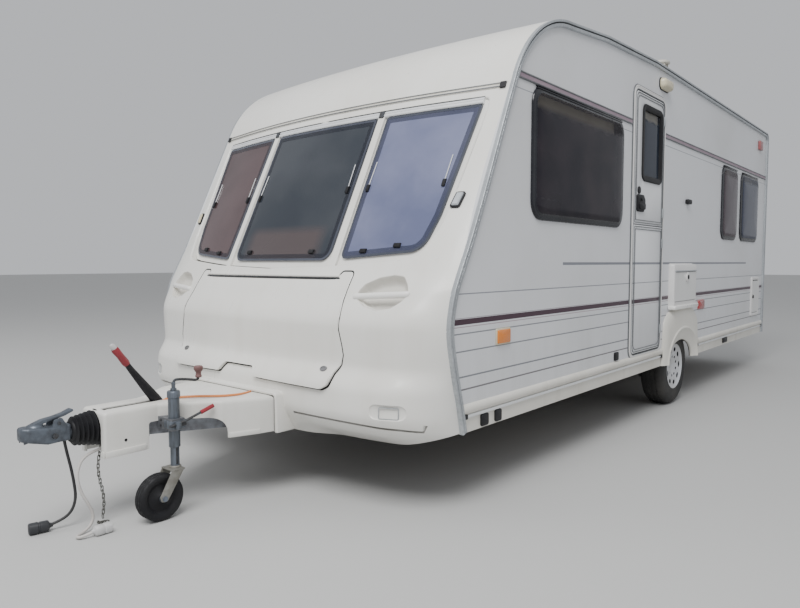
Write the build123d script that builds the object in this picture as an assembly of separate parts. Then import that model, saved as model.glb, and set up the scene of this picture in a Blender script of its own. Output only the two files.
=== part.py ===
from build123d import *
import os
from math import sin, cos, tan, radians

# Touring caravan on one axle, parked on its jockey wheel.
# Millimetres. +Z is up, the coupling points along -Y, the entrance door is on +X.
# The origin is on the ground, half way between the coupling's nose and the rear bumper.

os.makedirs("parts", exist_ok=True)

# Main sizes of the body
body_length = 5930
drawbar_reach = 1000
body_width = 2200
roof_height = 2435
wall = 28
roof_thickness = 32
floor_thickness = 40
wall_foot = 430
skirt_foot = 345
skirt_thickness = 14
bumper_reach = 26
seam = 3
fit = 0.3
door_gap = 6

# Wheels and axle
tyre_radius = 292
tyre_width = 175
rim_radius = 170
axle_station = 3250
axle_radius = 35
trim_holes = 9
trim_hole_radius = 13
trim_hole_circle = 122

# Stations are distances behind the front of the belly
y_front = (drawbar_reach - body_length - bumper_reach) / 2
y_rear = y_front + body_length
y_axle = y_front + axle_station
half_width = body_width / 2
wheel_face = half_width - 28
inner_half = half_width - wall
floor_top = wall_foot + 60
floor_under = floor_top - floor_thickness

# Front moulding, level by level: height, setback at the centre, setback of the side edge
lower_levels = [
    (270, 250, 392),
    (315, 140, 376),
    (360, 48, 362),
    (440, 0, 342),
    (530, 6, 318),
    (640, 58, 290),
    (800, 56, 262),
    (950, 125, 290),
    (1050, 190, 338),
    (1165, 255, 400),
]
upper_levels = [
    (1165, 255, 400),
    (1925, 640, 752),
]
lid_levels = [
    (500, -18, 305),
    (540, -9, 295),
    (590, 22, 291),
    (640, 55, 287),
    (700, 57, 278),
    (800, 56, 262),
    (950, 125, 290),
    (1050, 190, 338),
    (1165, 255, 400),
]
recess_levels = [
    (1000, 218, 330),
    (1925, 658, 752),
]
front_bow = 72
knuckle = half_width - 250
cap_bow = 104
cap_foot = upper_levels[-1][0]

# Roof line in the side view: station and height
cap_profile = [(752, cap_foot), (945, roof_height - 243), (1335, roof_height - 90), (1800, roof_height - 40)]
roof_crest = 2600
rear_corner = 80

# Floor and wheel boxes
floor_front = 400
well_inner = half_width - 250
well_half = 345
well_wall = 6
well_head = 690


def at(station):
    """Y of a distance behind the front of the belly."""
    return y_front + station


def block(x, y, z):
    """Box from its low and high limits."""
    size = (x[1] - x[0], y[1] - y[0], z[1] - z[0])
    return Pos((x[0] + x[1]) / 2, (y[0] + y[1]) / 2, (z[0] + z[1]) / 2) * Box(*size)


def rod(start, end, radius):
    """Round bar between two points."""
    line = Vector(*end) - Vector(*start)
    plane = Plane(origin=start, z_dir=line)
    return extrude(plane * Circle(radius), line.length)


def side_prism(shape, x):
    """A sketch of (Y, Z) pulled across from x[0] to x[1]."""
    plane = Plane(origin=(x[0], 0, 0), x_dir=(0, 1, 0), z_dir=(1, 0, 0))
    return extrude(plane * shape, x[1] - x[0])


def front_prism(shape, y):
    """A sketch of (X, Z) pulled back from y[0] to y[1]."""
    plane = Plane(origin=(0, y[1], 0), x_dir=(1, 0, 0), z_dir=(0, -1, 0))
    return extrude(plane * shape, y[1] - y[0])


def rounded(width, height, radius, centre):
    return Pos(centre[0], centre[1]) * RectangleRounded(width, height, radius)


def save(shape, node):
    export_step(shape, "parts/" + node + ".step")


def both_sides(shape):
    return [shape, mirror(shape, about=Plane.YZ)]


def one(shapes):
    return Compound(children=list(shapes))


# Front moulding

def front_section(level, inset):
    """Plan outline at one level, open to the back of the block."""
    height, centre, edge = level
    reach = half_width - inset
    y_centre = at(centre + inset)
    y_knuckle = y_centre + front_bow
    y_edge = at(edge + inset)
    back = at(1200)
    bow = ThreePointArc((-knuckle, y_knuckle), (0, y_centre), (knuckle, y_knuckle))
    slope = bow % 1
    right = TangentArc((knuckle, y_knuckle), (reach, y_edge), tangent=(slope.X, slope.Y))
    left = mirror(right, about=Plane.YZ)
    sides = Polyline((reach, y_edge), (reach, back), (-reach, back), (-reach, y_edge))
    edges = [*bow.edges(), *right.edges(), *sides.edges(), *left.edges()]
    return Pos(0, 0, height) * make_face(Wire(edges))


def front_block(inset):
    """Solid under the front's skin, inset by a wall."""
    lower = loft([front_section(level, inset) for level in lower_levels], ruled=True)
    upper = loft([front_section(level, inset) for level in upper_levels], ruled=True)
    return lower + upper


def front_slice(inset):
    """Solid under the front's skin at the height of the pull bars."""
    levels = [level for level in lower_levels if grab_span[0] <= level[0] <= grab_span[1]]
    return loft([front_section(level, inset) for level in levels], ruled=True)


def lid_block(inset):
    """Solid under the locker lid, whose lower lip flares forward."""
    return loft([front_section(level, inset) for level in lid_levels], ruled=True)


def recess_block(inset):
    """Solid behind the sunk face that carries the front windows."""
    return loft([front_section(level, inset) for level in recess_levels], ruled=True)


def edge_line():
    """Front edge of a side wall in the side view, from the foot to the cap."""
    points = [(at(edge), height) for height, centre, edge in lower_levels]
    points += [(at(edge), height) for height, centre, edge in upper_levels[1:]]
    return points


def edge_setback(height):
    """Setback of the side wall's front edge at one height."""
    for (low, _, low_edge), (high, _, high_edge) in zip(lower_levels, lower_levels[1:]):
        if low <= height <= high:
            return low_edge + (high_edge - low_edge) * (height - low) / (high - low)


def wall_outline(inset):
    """Side view of the body under its skin."""
    front = edge_line()
    foot, crown, brow, back = [(at(s), z) for s, z in cap_profile]
    crest = (at(roof_crest), roof_height)
    rise = ThreePointArc(foot, crown, brow)
    top = Polyline(brow, back, crest, (y_rear - rear_corner, roof_height))
    turn = ThreePointArc(
        (y_rear - rear_corner, roof_height),
        (y_rear - rear_corner * (1 - sin(radians(45))), roof_height - rear_corner * (1 - cos(radians(45)))),
        (y_rear, roof_height - rear_corner),
    )
    rest = Polyline((y_rear, roof_height - rear_corner), (y_rear, front[0][1]), front[0])
    edges = [*Polyline(*front).edges(), *rise.edges(), *top.edges(), *turn.edges(), *rest.edges()]
    outline = make_face(Wire(edges))
    if inset:
        outline = offset(outline, -inset, kind=Kind.INTERSECTION)
    return outline


outer_block = front_block(0)
inner_block = front_block(wall)
side_outline = wall_outline(0)

# Front windows and the recess they sit in: half outlines seen from the front
recess_outline = [
    (0, 1062), (330, 1073), (800, 1102), (883, 1114), (915, 1144), (961, 1254), (1016, 1807), (1012, 1857),
    (0, 1857),
]
recess_frame = 14
pane_foot = 1104
pane_head = 1822
pane_corner = 50
pane_reach = 895
pane_knee = (935, 1300)
pane_head_reach = 986
pane_proud = 8
pane_deep = 8
pane_gap = 0.3
divider = 418
divider_width = 76

# Front locker: half outline of its lid, from the foot to the head
lid_outline = [
    (0, 540), (144, 537), (578, 526), (612, 545), (642, 640), (650, 679), (625, 790), (605, 930),
    (603, 1050), (0, 1050),
]
lid_notch = (106, 583)
lid_corner = 12
lid_head = 1030
lid_half = 640
locker_depth = 420
locker_board = 12
locker_front = 215
notch_half = 385
notch_head = 452
foot_rise = [(750, 270), (920, 294), (980, 312), (1050, 334), (1110, 352)]

# Recesses with a pull bar each, seen from the front
grab_outline = [
    (659, 939), (693, 993), (757, 1023), (829, 1035), (880, 1029), (911, 995),
    (934, 951), (907, 917), (872, 891), (803, 879), (727, 897),
]
grab_span = (800, 1165)
grab_deep = 46
grab_wall = 6
grab_proud = 4
grab_thick = 14
bar_outline = [(650, 928), (940, 936), (940, 968), (650, 940)]


def whole_outline(half_points):
    """Face from its half outline, mirrored over the middle."""
    mirrored = [(-x, z) for x, z in reversed(half_points) if x > 0]
    return make_face(Polyline(*half_points, *mirrored, close=True))


def pane_sketch(side, grow):
    """Front view of one pane: side is -1, 0 or 1."""
    low = pane_foot - grow
    high = pane_head + grow
    half = divider - divider_width / 2 + grow
    near = divider + divider_width / 2 - grow
    if side == 0:
        return Pos(0, (low + high) / 2) * RectangleRounded(2 * half, high - low, pane_corner)
    knee = (pane_knee[0] + grow, pane_knee[1])
    points = [(near, low), (pane_reach + grow, low + 34), knee, (pane_head_reach + grow, high), (near, high)]
    face = make_face(Polyline(*points, close=True))
    face = fillet([v for v in face.vertices() if v.X > near + 1 and v.Y < low + 40], pane_corner)
    if side < 0:
        face = mirror(face, about=Plane.YZ)
    return face


def lid_sketch(grow, head_gap=0):
    """Front view of the locker lid."""
    face = whole_outline(lid_outline)
    notch = Pos(0, lid_notch[1] - 40) * Rectangle(2 * lid_notch[0], 80)
    face = fillet((face - notch).vertices(), lid_corner)
    if grow:
        face = offset(face, grow, kind=Kind.INTERSECTION)
    return face & Pos(0, (lid_head - head_gap) / 2) * Rectangle(4 * lid_half, lid_head - head_gap)


# Bodyside
window_radius = 85
front_window = (955, 2065, 1310, 1945)
rear_windows = [(body_length - 1660, body_length - 1170, 1300, 1925),
                (body_length - 1025, body_length - 370, 1300, 1925)]
pane_thickness = 8
pane_lap = 16
pane_rim = 14
door_front = 2240
door_rear = 2800
door_foot = 470
door_head = roof_height - 230
door_split = 1335
door_radius = 60
door_frame_width = 30
door_frame_proud = 8
door_window = (2385, 2730, door_head - 570, door_head - 100)
door_handle = (door_front + 66, door_front + 190, 1420, 1522)
handle_thick = 22
hatch_frame = (axle_station - 275, axle_station + 245, 750, 1075)
hatch_flap = (axle_station - 255, axle_station + 225, 805, 1015)
hatch_proud = 40
flap_thickness = 18
rear_hatch_frame = (body_length - 505, body_length - 210, 545, 935)
rear_hatch_proud = 14
arch_radius = 335
arch_head = 640
spat_front = axle_station - 405
spat_rear = axle_station + 405
spat_head = 740
spat_proud = 40
spat_wall = 5
spat_mouth = 265
spat_mouth_head = 500
rail_width = 24
rail_proud = 13

# Rear
rear_window_half = 560
rear_window_foot = 1290
rear_window_head = 1880
bumper_head = 560

# Chassis and drawbar
rail_x = 470
rail_wide = 45
rail_sheet = 4
rail_foot = 330
rail_start = 200
rail_setback = 100
cross_wide = 40
cross_stations = [700, 2600, body_length - 1730, body_length - 430]
jack_station = 2900
jack_half = 35
jack_deep = 8
frame_nose = 400 - drawbar_reach
beam_nose_x = 25
beam_rear = 150
beam_rear_x = 400
beam_wide = 50
beam_low = 345
beam_high = 420
axle_setback = 140
axle_height = 288
axle_half = 780
arm_wide = 40
drum_radius = 112
drum_wide = 16
stub_radius = 20
bore_gap = 0.05
tow_height = 405
tow_radius = 28
ball_radius = 25.5
head_length = 190
gaiter_end = 310 - drawbar_reach
shaft_end = 500 - drawbar_reach
head_block_half = 62
head_block_top = 455

# Jockey wheel and its clamp
brake_foot = (34, -440, 455)
brake_bend = (34, -600, 690)
brake_tip = (34, -640, 748)
brake_radius = 11
grip_radius = 17
jockey_x = 180
jockey_station = -450
jockey_tube = 24
jockey_leg = 19
jockey_wheel_radius = 100
jockey_wheel_wide = 60
jockey_trail = 75
jockey_top = 560
jockey_sleeve = 260
clamp_height = 400
clamp_half = 25
clamp_long = 30
crank_reach = 104
crank_rise = 36
crank_knob = (12, 64)
fork_half = 40
fork_sheet = 6
fork_pin = 7

# Corner steadies
steady_length = 480
steady_x = 640
steady_front = 620
steady_rear = body_length - 370
steady_wide = 50
steady_height = 420
steady_deep = 30
steady_sheet = 5
foot_half = 38
foot_thick = 4

skin = outer_block - inner_block
side_core = side_prism(side_outline, (-half_width - 20, half_width + 20))
front_reach = (y_front - 50, at(1100))

recess_face = whole_outline(recess_outline)
recess_wide = offset(recess_face, recess_frame, kind=Kind.INTERSECTION)
sunk = recess_block(0)
front_panel = (skin - front_prism(recess_face, front_reach)) - side_core
front_panel += ((outer_block - recess_block(wall)) & front_prism(recess_wide, front_reach)) - side_core
front_panel -= (outer_block - sunk) & front_prism(recess_face, front_reach)
front_panel -= block((-notch_half, notch_half), (y_front - 50, at(1200)), (250, notch_head))
foot_face = make_face(Polyline(*foot_rise, (foot_rise[-1][0], 200), (foot_rise[0][0], 200), close=True))
for cut in both_sides(front_prism(foot_face, front_reach)):
    front_panel -= cut

grab_face = make_face(Polyline(*grab_outline, close=True))
grab_wide = offset(grab_face, grab_wall, kind=Kind.INTERSECTION)
pockets = (outer_block - front_slice(grab_deep + grab_wall)) & one(both_sides(front_prism(grab_wide,
                                                                                          front_reach)))
hollows = (front_slice(-grab_proud) - front_slice(grab_deep)) & one(both_sides(front_prism(grab_face,
                                                                                           front_reach)))
front_panel += pockets
front_panel -= hollows
for side in (-1, 0, 1):
    front_panel -= front_prism(pane_sketch(side, 0), front_reach)
front_panel -= front_prism(lid_sketch(0), front_reach)
save(front_panel, "front_panel")

pane_skin = recess_block(-pane_proud) - recess_block(pane_deep)
panes = [pane_skin & front_prism(pane_sketch(side, -pane_gap), front_reach) for side in (-1, 0, 1)]
save(one(panes), "front_panes")

lid_skin = lid_block(0) - lid_block(wall)
locker_lid = lid_skin & front_prism(lid_sketch(-seam, fit), (y_front - 50, at(450)))
save(locker_lid, "locker_lid")


# Body shell

def region(y, z):
    """Rectangle of the side view."""
    return Pos((y[0] + y[1]) / 2, (z[0] + z[1]) / 2) * Rectangle(y[1] - y[0], z[1] - z[0])


def side_window(box, grow):
    front, rear, low, high = box
    middle = (at((front + rear) / 2), (low + high) / 2)
    return rounded(rear - front + 2 * grow, high - low + 2 * grow, window_radius + grow, middle)


def plain(box, grow, radius):
    front, rear, low, high = box
    middle = (at((front + rear) / 2), (low + high) / 2)
    return rounded(rear - front + 2 * grow, high - low + 2 * grow, radius, middle)


def cap_section(x, bow):
    """Side view of the front roof cap at one place across the body."""
    outer = [Vector(at(s), z) for s, z in cap_profile]
    shift = [bow, bow * 0.75, bow * 0.3, 0]
    drop = [(roof_thickness, 0), (roof_thickness * 0.7, -roof_thickness * 0.7), (4, -roof_thickness)]
    drop.append((0, -roof_thickness))
    upper = [(p.X - d, p.Y) for p, d in zip(outer, shift)]
    lower = [(p[0] + d[0], p[1] + d[1]) for p, d in zip(upper, drop)]
    rise = ThreePointArc(upper[0], upper[1], upper[2])
    fall = ThreePointArc(lower[2], lower[1], lower[0])
    back = Polyline(upper[2], upper[3], lower[3], lower[2])
    foot = Line(lower[0], upper[0])
    face = make_face(Wire([*rise.edges(), *back.edges(), *fall.edges(), *foot.edges()]))
    return Plane(origin=(x, 0, 0), x_dir=(0, 1, 0), z_dir=(1, 0, 0)) * face


cap_places = [(-half_width, 0), (-half_width / 2, 0.75), (0, 1), (half_width / 2, 0.75), (half_width, 0)]
roof_cap = loft([cap_section(x, cap_bow * share) for x, share in cap_places])
save(roof_cap, "roof_cap")

cap_end = at(cap_profile[-1][0])

rear_panel = block((-half_width, half_width), (y_rear - wall, y_rear), (wall_foot, roof_height - rear_corner))
rear_window = rounded(2 * rear_window_half, rear_window_head - rear_window_foot, window_radius,
                      (0, (rear_window_head + rear_window_foot) / 2))
rear_panel -= front_prism(rear_window, (y_rear - wall - 5, y_rear + 5))
save(rear_panel, "rear_panel")

foot, crown, brow, back_point = [(at(s), z) for s, z in cap_profile]
under = [(p[0] + d[0], p[1] + d[1]) for p, d in zip(
    (foot, crown, brow, back_point),
    ((roof_thickness, 0), (roof_thickness * 0.7, -roof_thickness * 0.7), (4, -roof_thickness),
     (0, -roof_thickness)))]
foot_edge = at(edge_setback(wall_foot))
front_line = [p for p in edge_line() if p[1] > wall_foot]
wall_rear = y_rear - wall
wall_edges = [
    *Polyline((foot_edge, wall_foot), *front_line, under[0]).edges(),
    *ThreePointArc(under[0], under[1], under[2]).edges(),
    *Polyline(under[2], under[3], (at(roof_crest), roof_height - roof_thickness),
              (y_rear - rear_corner, roof_height - roof_thickness)).edges(),
    *ThreePointArc(
        (y_rear - rear_corner, roof_height - roof_thickness),
        (y_rear - rear_corner + (rear_corner - roof_thickness) * sin(radians(45)),
         roof_height - rear_corner + (rear_corner - roof_thickness) * cos(radians(45))),
        (y_rear - roof_thickness, roof_height - rear_corner)).edges(),
    *Polyline((y_rear - roof_thickness, roof_height - rear_corner), (wall_rear, wall_foot),
              (foot_edge, wall_foot)).edges(),
]
wall_sketch = make_face(Wire(wall_edges))
roof_sketch = side_outline & region((cap_end, y_rear + 10), (roof_height - rear_corner, roof_height + 10))
roof_sketch -= wall_sketch
roof_parts = side_prism(roof_sketch, (-half_width, half_width)).solids()
save(max(roof_parts, key=lambda solid: solid.volume), "roof_panel")
arch = Pos(y_axle, wall_foot) * Circle(arch_radius)
arch = arch & region((y_axle - 500, y_axle + 500), (wall_foot - 500, arch_head))
wall_sketch -= arch

door_box = (door_front, door_rear, door_foot, door_head)
near_sketch = wall_sketch - side_window(front_window, 0) - plain(door_box, 0, door_radius)
near_sketch -= plain(hatch_flap, 4, 10)
near_sketch -= plain(rear_hatch_frame, -30, 10)
far_sketch = wall_sketch - side_window(front_window, 0)
for box in rear_windows:
    near_sketch -= side_window(box, 0)
    far_sketch -= side_window(box, 0)
near_wall = (inner_half, half_width)
far_wall = (-half_width, -inner_half)
save(side_prism(near_sketch, near_wall), "side_wall_door")
save(side_prism(far_sketch, far_wall), "side_wall_far")


def pane(sketch_in, sketch_out, side):
    """Acrylic pane that laps the wall outside, with its frame lining the opening."""
    rim = side_prism(sketch_in - offset(sketch_in, -pane_rim), near_wall)
    lap = side_prism(sketch_out, (half_width, half_width + pane_thickness))
    whole = rim + lap
    return whole if side > 0 else mirror(whole, about=Plane.YZ)


side_boxes = [front_window, *rear_windows]
body_panes = [pane(side_window(b, 0), side_window(b, pane_lap), side) for b in side_boxes for side in (1, -1)]

rear_pane = front_prism(rear_window - offset(rear_window, -pane_rim), (y_rear - wall, y_rear))
rear_lap = rounded(2 * (rear_window_half + pane_lap), rear_window_head - rear_window_foot + 2 * pane_lap,
                   window_radius + pane_lap, (0, (rear_window_head + rear_window_foot) / 2))
rear_pane += front_prism(rear_lap, (y_rear, y_rear + pane_thickness))
save(one([*body_panes, rear_pane]), "body_panes")

# Awning rails on the edge of each side wall
rail_sketch = side_outline - offset(side_outline, -rail_width, kind=Kind.INTERSECTION)
rail_sketch -= region((at(700), y_rear - rail_width - 1), (200, 1200))
rail_sketch -= region((y_front, y_rear), (200, skirt_foot))
awning_rail = side_prism(rail_sketch, (half_width, half_width + rail_proud))
save(one(both_sides(awning_rail)), "awning_rails")

# Skirts
skirt_parts = []
for start, end in ((at(lower_levels[3][2]) + rail_width + 2, at(spat_front)),
                   (at(spat_rear), y_rear - rail_width - 2)):
    strip = block((half_width - skirt_thickness, half_width), (start, end), (skirt_foot, wall_foot))
    skirt_parts += both_sides(strip)
save(one(skirt_parts), "side_skirts")

# Spats over the wheels
spat_outer = region((at(spat_front), at(spat_rear)), (skirt_foot, spat_head))
spat_outer = fillet(spat_outer.vertices().group_by(Axis.Y)[-1], 130)
mouth = Pos(y_axle, skirt_foot) * Ellipse(spat_mouth, spat_mouth_head - skirt_foot)
spat_hollow = offset(spat_outer, -spat_wall)
spat = side_prism(spat_outer, (half_width, half_width + spat_proud))
spat -= side_prism(spat_hollow, (half_width - 1, half_width + spat_proud - spat_wall))
spat -= side_prism(mouth, (half_width - 1, half_width + spat_proud + 1))
save(one(both_sides(spat)), "wheel_spats")

# Entrance door in two halves, with its frame
frame_sketch = plain(door_box, 0, door_radius) - plain(door_box, -door_frame_width / 2, door_radius)
frame_face = plain(door_box, 14, door_radius) - plain(door_box, -door_frame_width / 2, door_radius)
door_frame = side_prism(frame_sketch, near_wall)
door_frame += side_prism(frame_face, (half_width, half_width + door_frame_proud))

leaf = plain(door_box, -door_frame_width / 2 - door_gap, door_radius - 20)
window_cut = plain(door_window, 0, 40)
lower_leaf = leaf & region((at(door_front), at(door_rear)), (300, door_split - door_gap / 2))
upper_leaf = leaf & region((at(door_front), at(door_rear)), (door_split + door_gap / 2, door_head + 100))
upper_leaf -= window_cut
leaf_faces = (inner_half, half_width + door_frame_proud)
lower_door = side_prism(lower_leaf, leaf_faces)
upper_door = side_prism(upper_leaf, leaf_faces)
door_pane = side_prism(window_cut, (half_width - 8, half_width))
handle_face = half_width + door_frame_proud
handle_front, handle_rear, handle_low, handle_high = door_handle
handle = block((handle_face, handle_face + handle_thick), (at(handle_front), at(handle_rear)),
               (handle_low, handle_high))
save(lower_door, "door_lower")
save(upper_door + handle, "door_upper")
save(door_pane, "door_pane")

# Service hatches
hatch = side_prism(plain(hatch_frame, 0, 14) - plain(hatch_flap, 4, 10),
                   (half_width, half_width + hatch_proud))
flap_front, flap_rear, flap_low, flap_high = hatch_flap
flap_box = plain((flap_front, flap_rear, flap_low - 4 + fit, flap_high), 0, 10)
flap = side_prism(flap_box, (half_width + hatch_proud - flap_thickness, half_width + hatch_proud))
save(flap, "hatch_flap")
tall_frame = plain(rear_hatch_frame, 0, 14) - plain(rear_hatch_frame, -24, 10)
tall_frame = side_prism(tall_frame, (half_width, half_width + rear_hatch_proud))
save(one([door_frame, hatch, tall_frame]), "side_frames")
tall_front, tall_rear, tall_low, tall_high = rear_hatch_frame
tall_flap = plain((tall_front + 35, tall_rear - 30 - fit, tall_low + 35, tall_high - 35), 0, 8)
save(side_prism(tall_flap, (half_width - 2, half_width + rear_hatch_proud)), "rear_hatch_flap")

# Floor, wheel boxes, locker
floor = block((-inner_half, inner_half), (at(floor_front), wall_rear), (floor_under, floor_top))
well = block((well_inner, inner_half), (y_axle - well_half, y_axle + well_half),
             (floor_under - 10, floor_top + 10))
for cut in both_sides(well):
    floor -= cut
box_shell = block((well_inner - well_wall, inner_half), (y_axle - well_half - well_wall,
                                                         y_axle + well_half + well_wall),
                  (floor_top, well_head))
box_shell -= block((well_inner, inner_half + 1), (y_axle - well_half, y_axle + well_half),
                   (floor_top - 1, well_head - well_wall))
for shell in both_sides(box_shell):
    floor += shell
save(floor, "floor")
locker_back = at(locker_front) + locker_depth
locker_half = lid_half + 5
locker_head = lid_head + 14
locker = block((-locker_half, locker_half), (at(locker_front), locker_back), (floor_top, locker_head))
locker -= block((locker_board - locker_half, locker_half - locker_board),
                (at(100), locker_back - locker_board),
                (floor_top + locker_board, locker_head - locker_board))
save(locker & inner_block, "front_locker")

# Chassis
rail_run = (at(rail_start), wall_rear - rail_setback)
rail = block((rail_x - rail_wide / 2, rail_x + rail_wide / 2), rail_run, (rail_foot, floor_under))
rail -= block((rail_x - rail_wide / 2 + rail_sheet, rail_x + rail_wide), (rail_run[0] - 1, rail_run[1] + 1),
              (rail_foot + rail_sheet, floor_under - rail_sheet))
rail += block((rail_x - jack_half, rail_x + jack_half), (at(jack_station - jack_half),
                                                         at(jack_station + jack_half)),
              (rail_foot - jack_deep, rail_foot))
cross = []
for station in cross_stations:
    span = (rail_wide / 2 - rail_x, rail_x - rail_wide / 2)
    member = block(span, (at(station), at(station) + cross_wide), (rail_foot + 20, floor_under))
    member -= block((span[0] - 1, span[1] + 1), (at(station) + rail_sheet, at(station) + cross_wide + 1),
                    (rail_foot + 20 + rail_sheet, floor_under - rail_sheet))
    cross.append(member)

beam_plan = Polyline((beam_nose_x, at(frame_nose)), (beam_rear_x, at(beam_rear)),
                     (rail_x - rail_wide / 2, at(beam_rear)), (rail_x - rail_wide / 2, at(beam_rear + 200)),
                     (rail_x - rail_wide / 2 - beam_wide, at(beam_rear + 200)),
                     (beam_rear_x - beam_wide, at(beam_rear)),
                     (beam_nose_x - beam_wide / 2, at(frame_nose)), close=True)
beam = Pos(0, 0, beam_low) * extrude(make_face(beam_plan), beam_high - beam_low)
head_block = block((-head_block_half, head_block_half), (at(gaiter_end), at(shaft_end)),
                   (beam_low - 10, head_block_top))
a_frame = beam + mirror(beam, about=Plane.YZ) + head_block
a_frame -= rod((0, at(gaiter_end - 10), tow_height), (0, at(shaft_end + 20), tow_height), tow_radius + fit)

shaft = rod((0, at(-drawbar_reach + head_length - 20), tow_height), (0, at(shaft_end), tow_height),
            tow_radius)
head = block((-42, 42), (at(-drawbar_reach), at(-drawbar_reach + head_length)),
             (tow_height - 32, tow_height + 50))
head = fillet(head.edges().filter_by(Axis.Z), 30)
head -= Pos(0, at(-drawbar_reach + 60), tow_height - 40) * Cylinder(ball_radius, 60)
head -= rod((0, at(-drawbar_reach + head_length - 40), tow_height),
            (0, at(-drawbar_reach + head_length + 10), tow_height), tow_radius)
lever = block((-18, 18), (at(-drawbar_reach + 60), at(-drawbar_reach + head_length - 2)),
              (tow_height + 50, tow_height + 62))
save(head + lever + shaft, "coupling_head")

gaiter_start = at(-drawbar_reach + head_length)
rib_count = 6
rib_pitch = (at(gaiter_end) - gaiter_start) / rib_count
rib_radii = (58, 66, 52)
rib_growth = 2
rib_land = 2
points = [(tow_radius + fit, 0)]
for i in range(rib_count):
    front, crest, back = [radius + rib_growth * i for radius in rib_radii]
    points += [(front, rib_pitch * i + rib_land), (crest, rib_pitch * (i + 0.5)),
               (back, rib_pitch * (i + 1) - rib_land)]
points += [(tow_radius + fit, rib_pitch * rib_count)]
gaiter_face = make_face(Polyline(*points, close=True))
gaiter = revolve(gaiter_face, Axis.Y)
save(Pos(0, gaiter_start, tow_height) * gaiter, "gaiter")

# Cover over the drawbar
cover_nose = 285 - drawbar_reach
cover_plan = [(100, cover_nose), (100, -480), (122, -430), (280, -262), (400, -80), (400, 110)]
cover_top = 500
cover_low = 290
cover_wall = 6
cover_cut = (-534, -290)
cover_cut_head = 432
cover_cut_corner = 50
cover_slot = (16, 52)
cover_hole = 80


def cover_outline(inset):
    right = [(x - inset, at(s) + (inset if i == 0 else 0)) for i, (x, s) in enumerate(cover_plan)]
    if inset:
        right[-1] = (right[-1][0], right[-1][1] + 10)
    left = [(-x, y) for x, y in reversed(right)]
    return make_face(Polyline(*right, *left, close=True))


cover = Pos(0, 0, cover_low) * extrude(cover_outline(0), cover_top - cover_low)
cover -= Pos(0, 0, cover_low - 1) * extrude(cover_outline(cover_wall), cover_top - cover_low - cover_wall + 1)
side_cut = region((at(cover_cut[0]), at(cover_cut[1])), (cover_low - 20, cover_cut_head))
side_cut = fillet(side_cut.vertices().group_by(Axis.Y)[-1], cover_cut_corner)
cover -= side_prism(side_cut, (-500, 500))
cover -= block(cover_slot, (at(cover_nose + 15), at(-420)), (cover_top - 20, cover_top + 20))
nose_hole = rod((0, at(cover_nose - 15), tow_height), (0, at(gaiter_end), tow_height), cover_hole)
nose_hole += block((10 - cover_hole, cover_hole - 10), (at(cover_nose - 15), at(gaiter_end)),
                   (cover_low - 10, tow_height))
cover -= nose_hole
cover -= outer_block
cover = max(cover.solids(), key=lambda solid: solid.volume)
save(cover, "drawbar_cover")

brake_points = [(x, at(s), z) for x, s, z in (brake_foot, brake_bend, brake_tip)]
brake = rod(brake_points[0], brake_points[1], brake_radius)
grip = rod(brake_points[1], brake_points[2], grip_radius)
quadrant = block((brake_foot[0] - 10, brake_foot[0] + 10), (at(-500), at(-425)), (400, 470))
save(brake + grip + quadrant, "brake_lever")

# Jockey wheel
jockey_y = at(jockey_station)
clamp = block((90, jockey_x + 34), (jockey_y - clamp_long, jockey_y + clamp_long),
              (clamp_height - clamp_half, clamp_height + clamp_half))
clamp -= rod((jockey_x, jockey_y, clamp_height - 40), (jockey_x, jockey_y, clamp_height + 40),
             jockey_tube + fit)
clamp -= beam
save(a_frame + clamp, "a_frame")
sleeve_low = jockey_top - jockey_sleeve
sleeve = rod((jockey_x, jockey_y, sleeve_low), (jockey_x, jockey_y, jockey_top), jockey_tube)
sleeve -= rod((jockey_x, jockey_y, sleeve_low - 5), (jockey_x, jockey_y, jockey_top - 12), jockey_leg + fit)
crank = rod((jockey_x, jockey_y, jockey_top), (jockey_x, jockey_y, jockey_top + 40), 7)
crank += rod((jockey_x, jockey_y, jockey_top + crank_rise),
             (jockey_x, jockey_y + crank_reach + 6, jockey_top + crank_rise + 6), 6)
crank += rod((jockey_x, jockey_y + crank_reach, jockey_top + crank_rise),
             (jockey_x, jockey_y + crank_reach, jockey_top + crank_rise + crank_knob[1]), crank_knob[0])
save(sleeve + crank, "jockey_sleeve")
wheel_y = jockey_y - jockey_trail
leg_low = 2 * jockey_wheel_radius + 12
leg = rod((jockey_x, jockey_y, leg_low + fit), (jockey_x, jockey_y, jockey_top - 140), jockey_leg)
fork = block((jockey_x - fork_half - 4, jockey_x + fork_half + 4), (jockey_y - 40, jockey_y + 22),
             (leg_low - fork_sheet, leg_low))
for dx in (-1, 1):
    cheek = Polyline((jockey_y + 18, leg_low), (jockey_y - 36, leg_low),
                     (wheel_y - 18, jockey_wheel_radius - 14), (wheel_y + 18, jockey_wheel_radius - 14),
                     close=True)
    middle = jockey_x + dx * fork_half
    fork += side_prism(make_face(cheek), (middle - fork_sheet / 2, middle + fork_sheet / 2))
pin_half = fork_half + fork_sheet / 2
fork += rod((jockey_x - pin_half, wheel_y, jockey_wheel_radius),
            (jockey_x + pin_half, wheel_y, jockey_wheel_radius),
            fork_pin)
save(leg, "jockey_leg")
save(fork, "jockey_fork")
wheel_half = jockey_wheel_wide / 2
small_wheel = rod((jockey_x - wheel_half, wheel_y, jockey_wheel_radius),
                  (jockey_x + wheel_half, wheel_y, jockey_wheel_radius), jockey_wheel_radius)
small_wheel -= rod((jockey_x - wheel_half - 1, wheel_y, jockey_wheel_radius),
                   (jockey_x + wheel_half + 1, wheel_y, jockey_wheel_radius), fork_pin + bore_gap)
save(small_wheel, "jockey_wheel")

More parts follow.
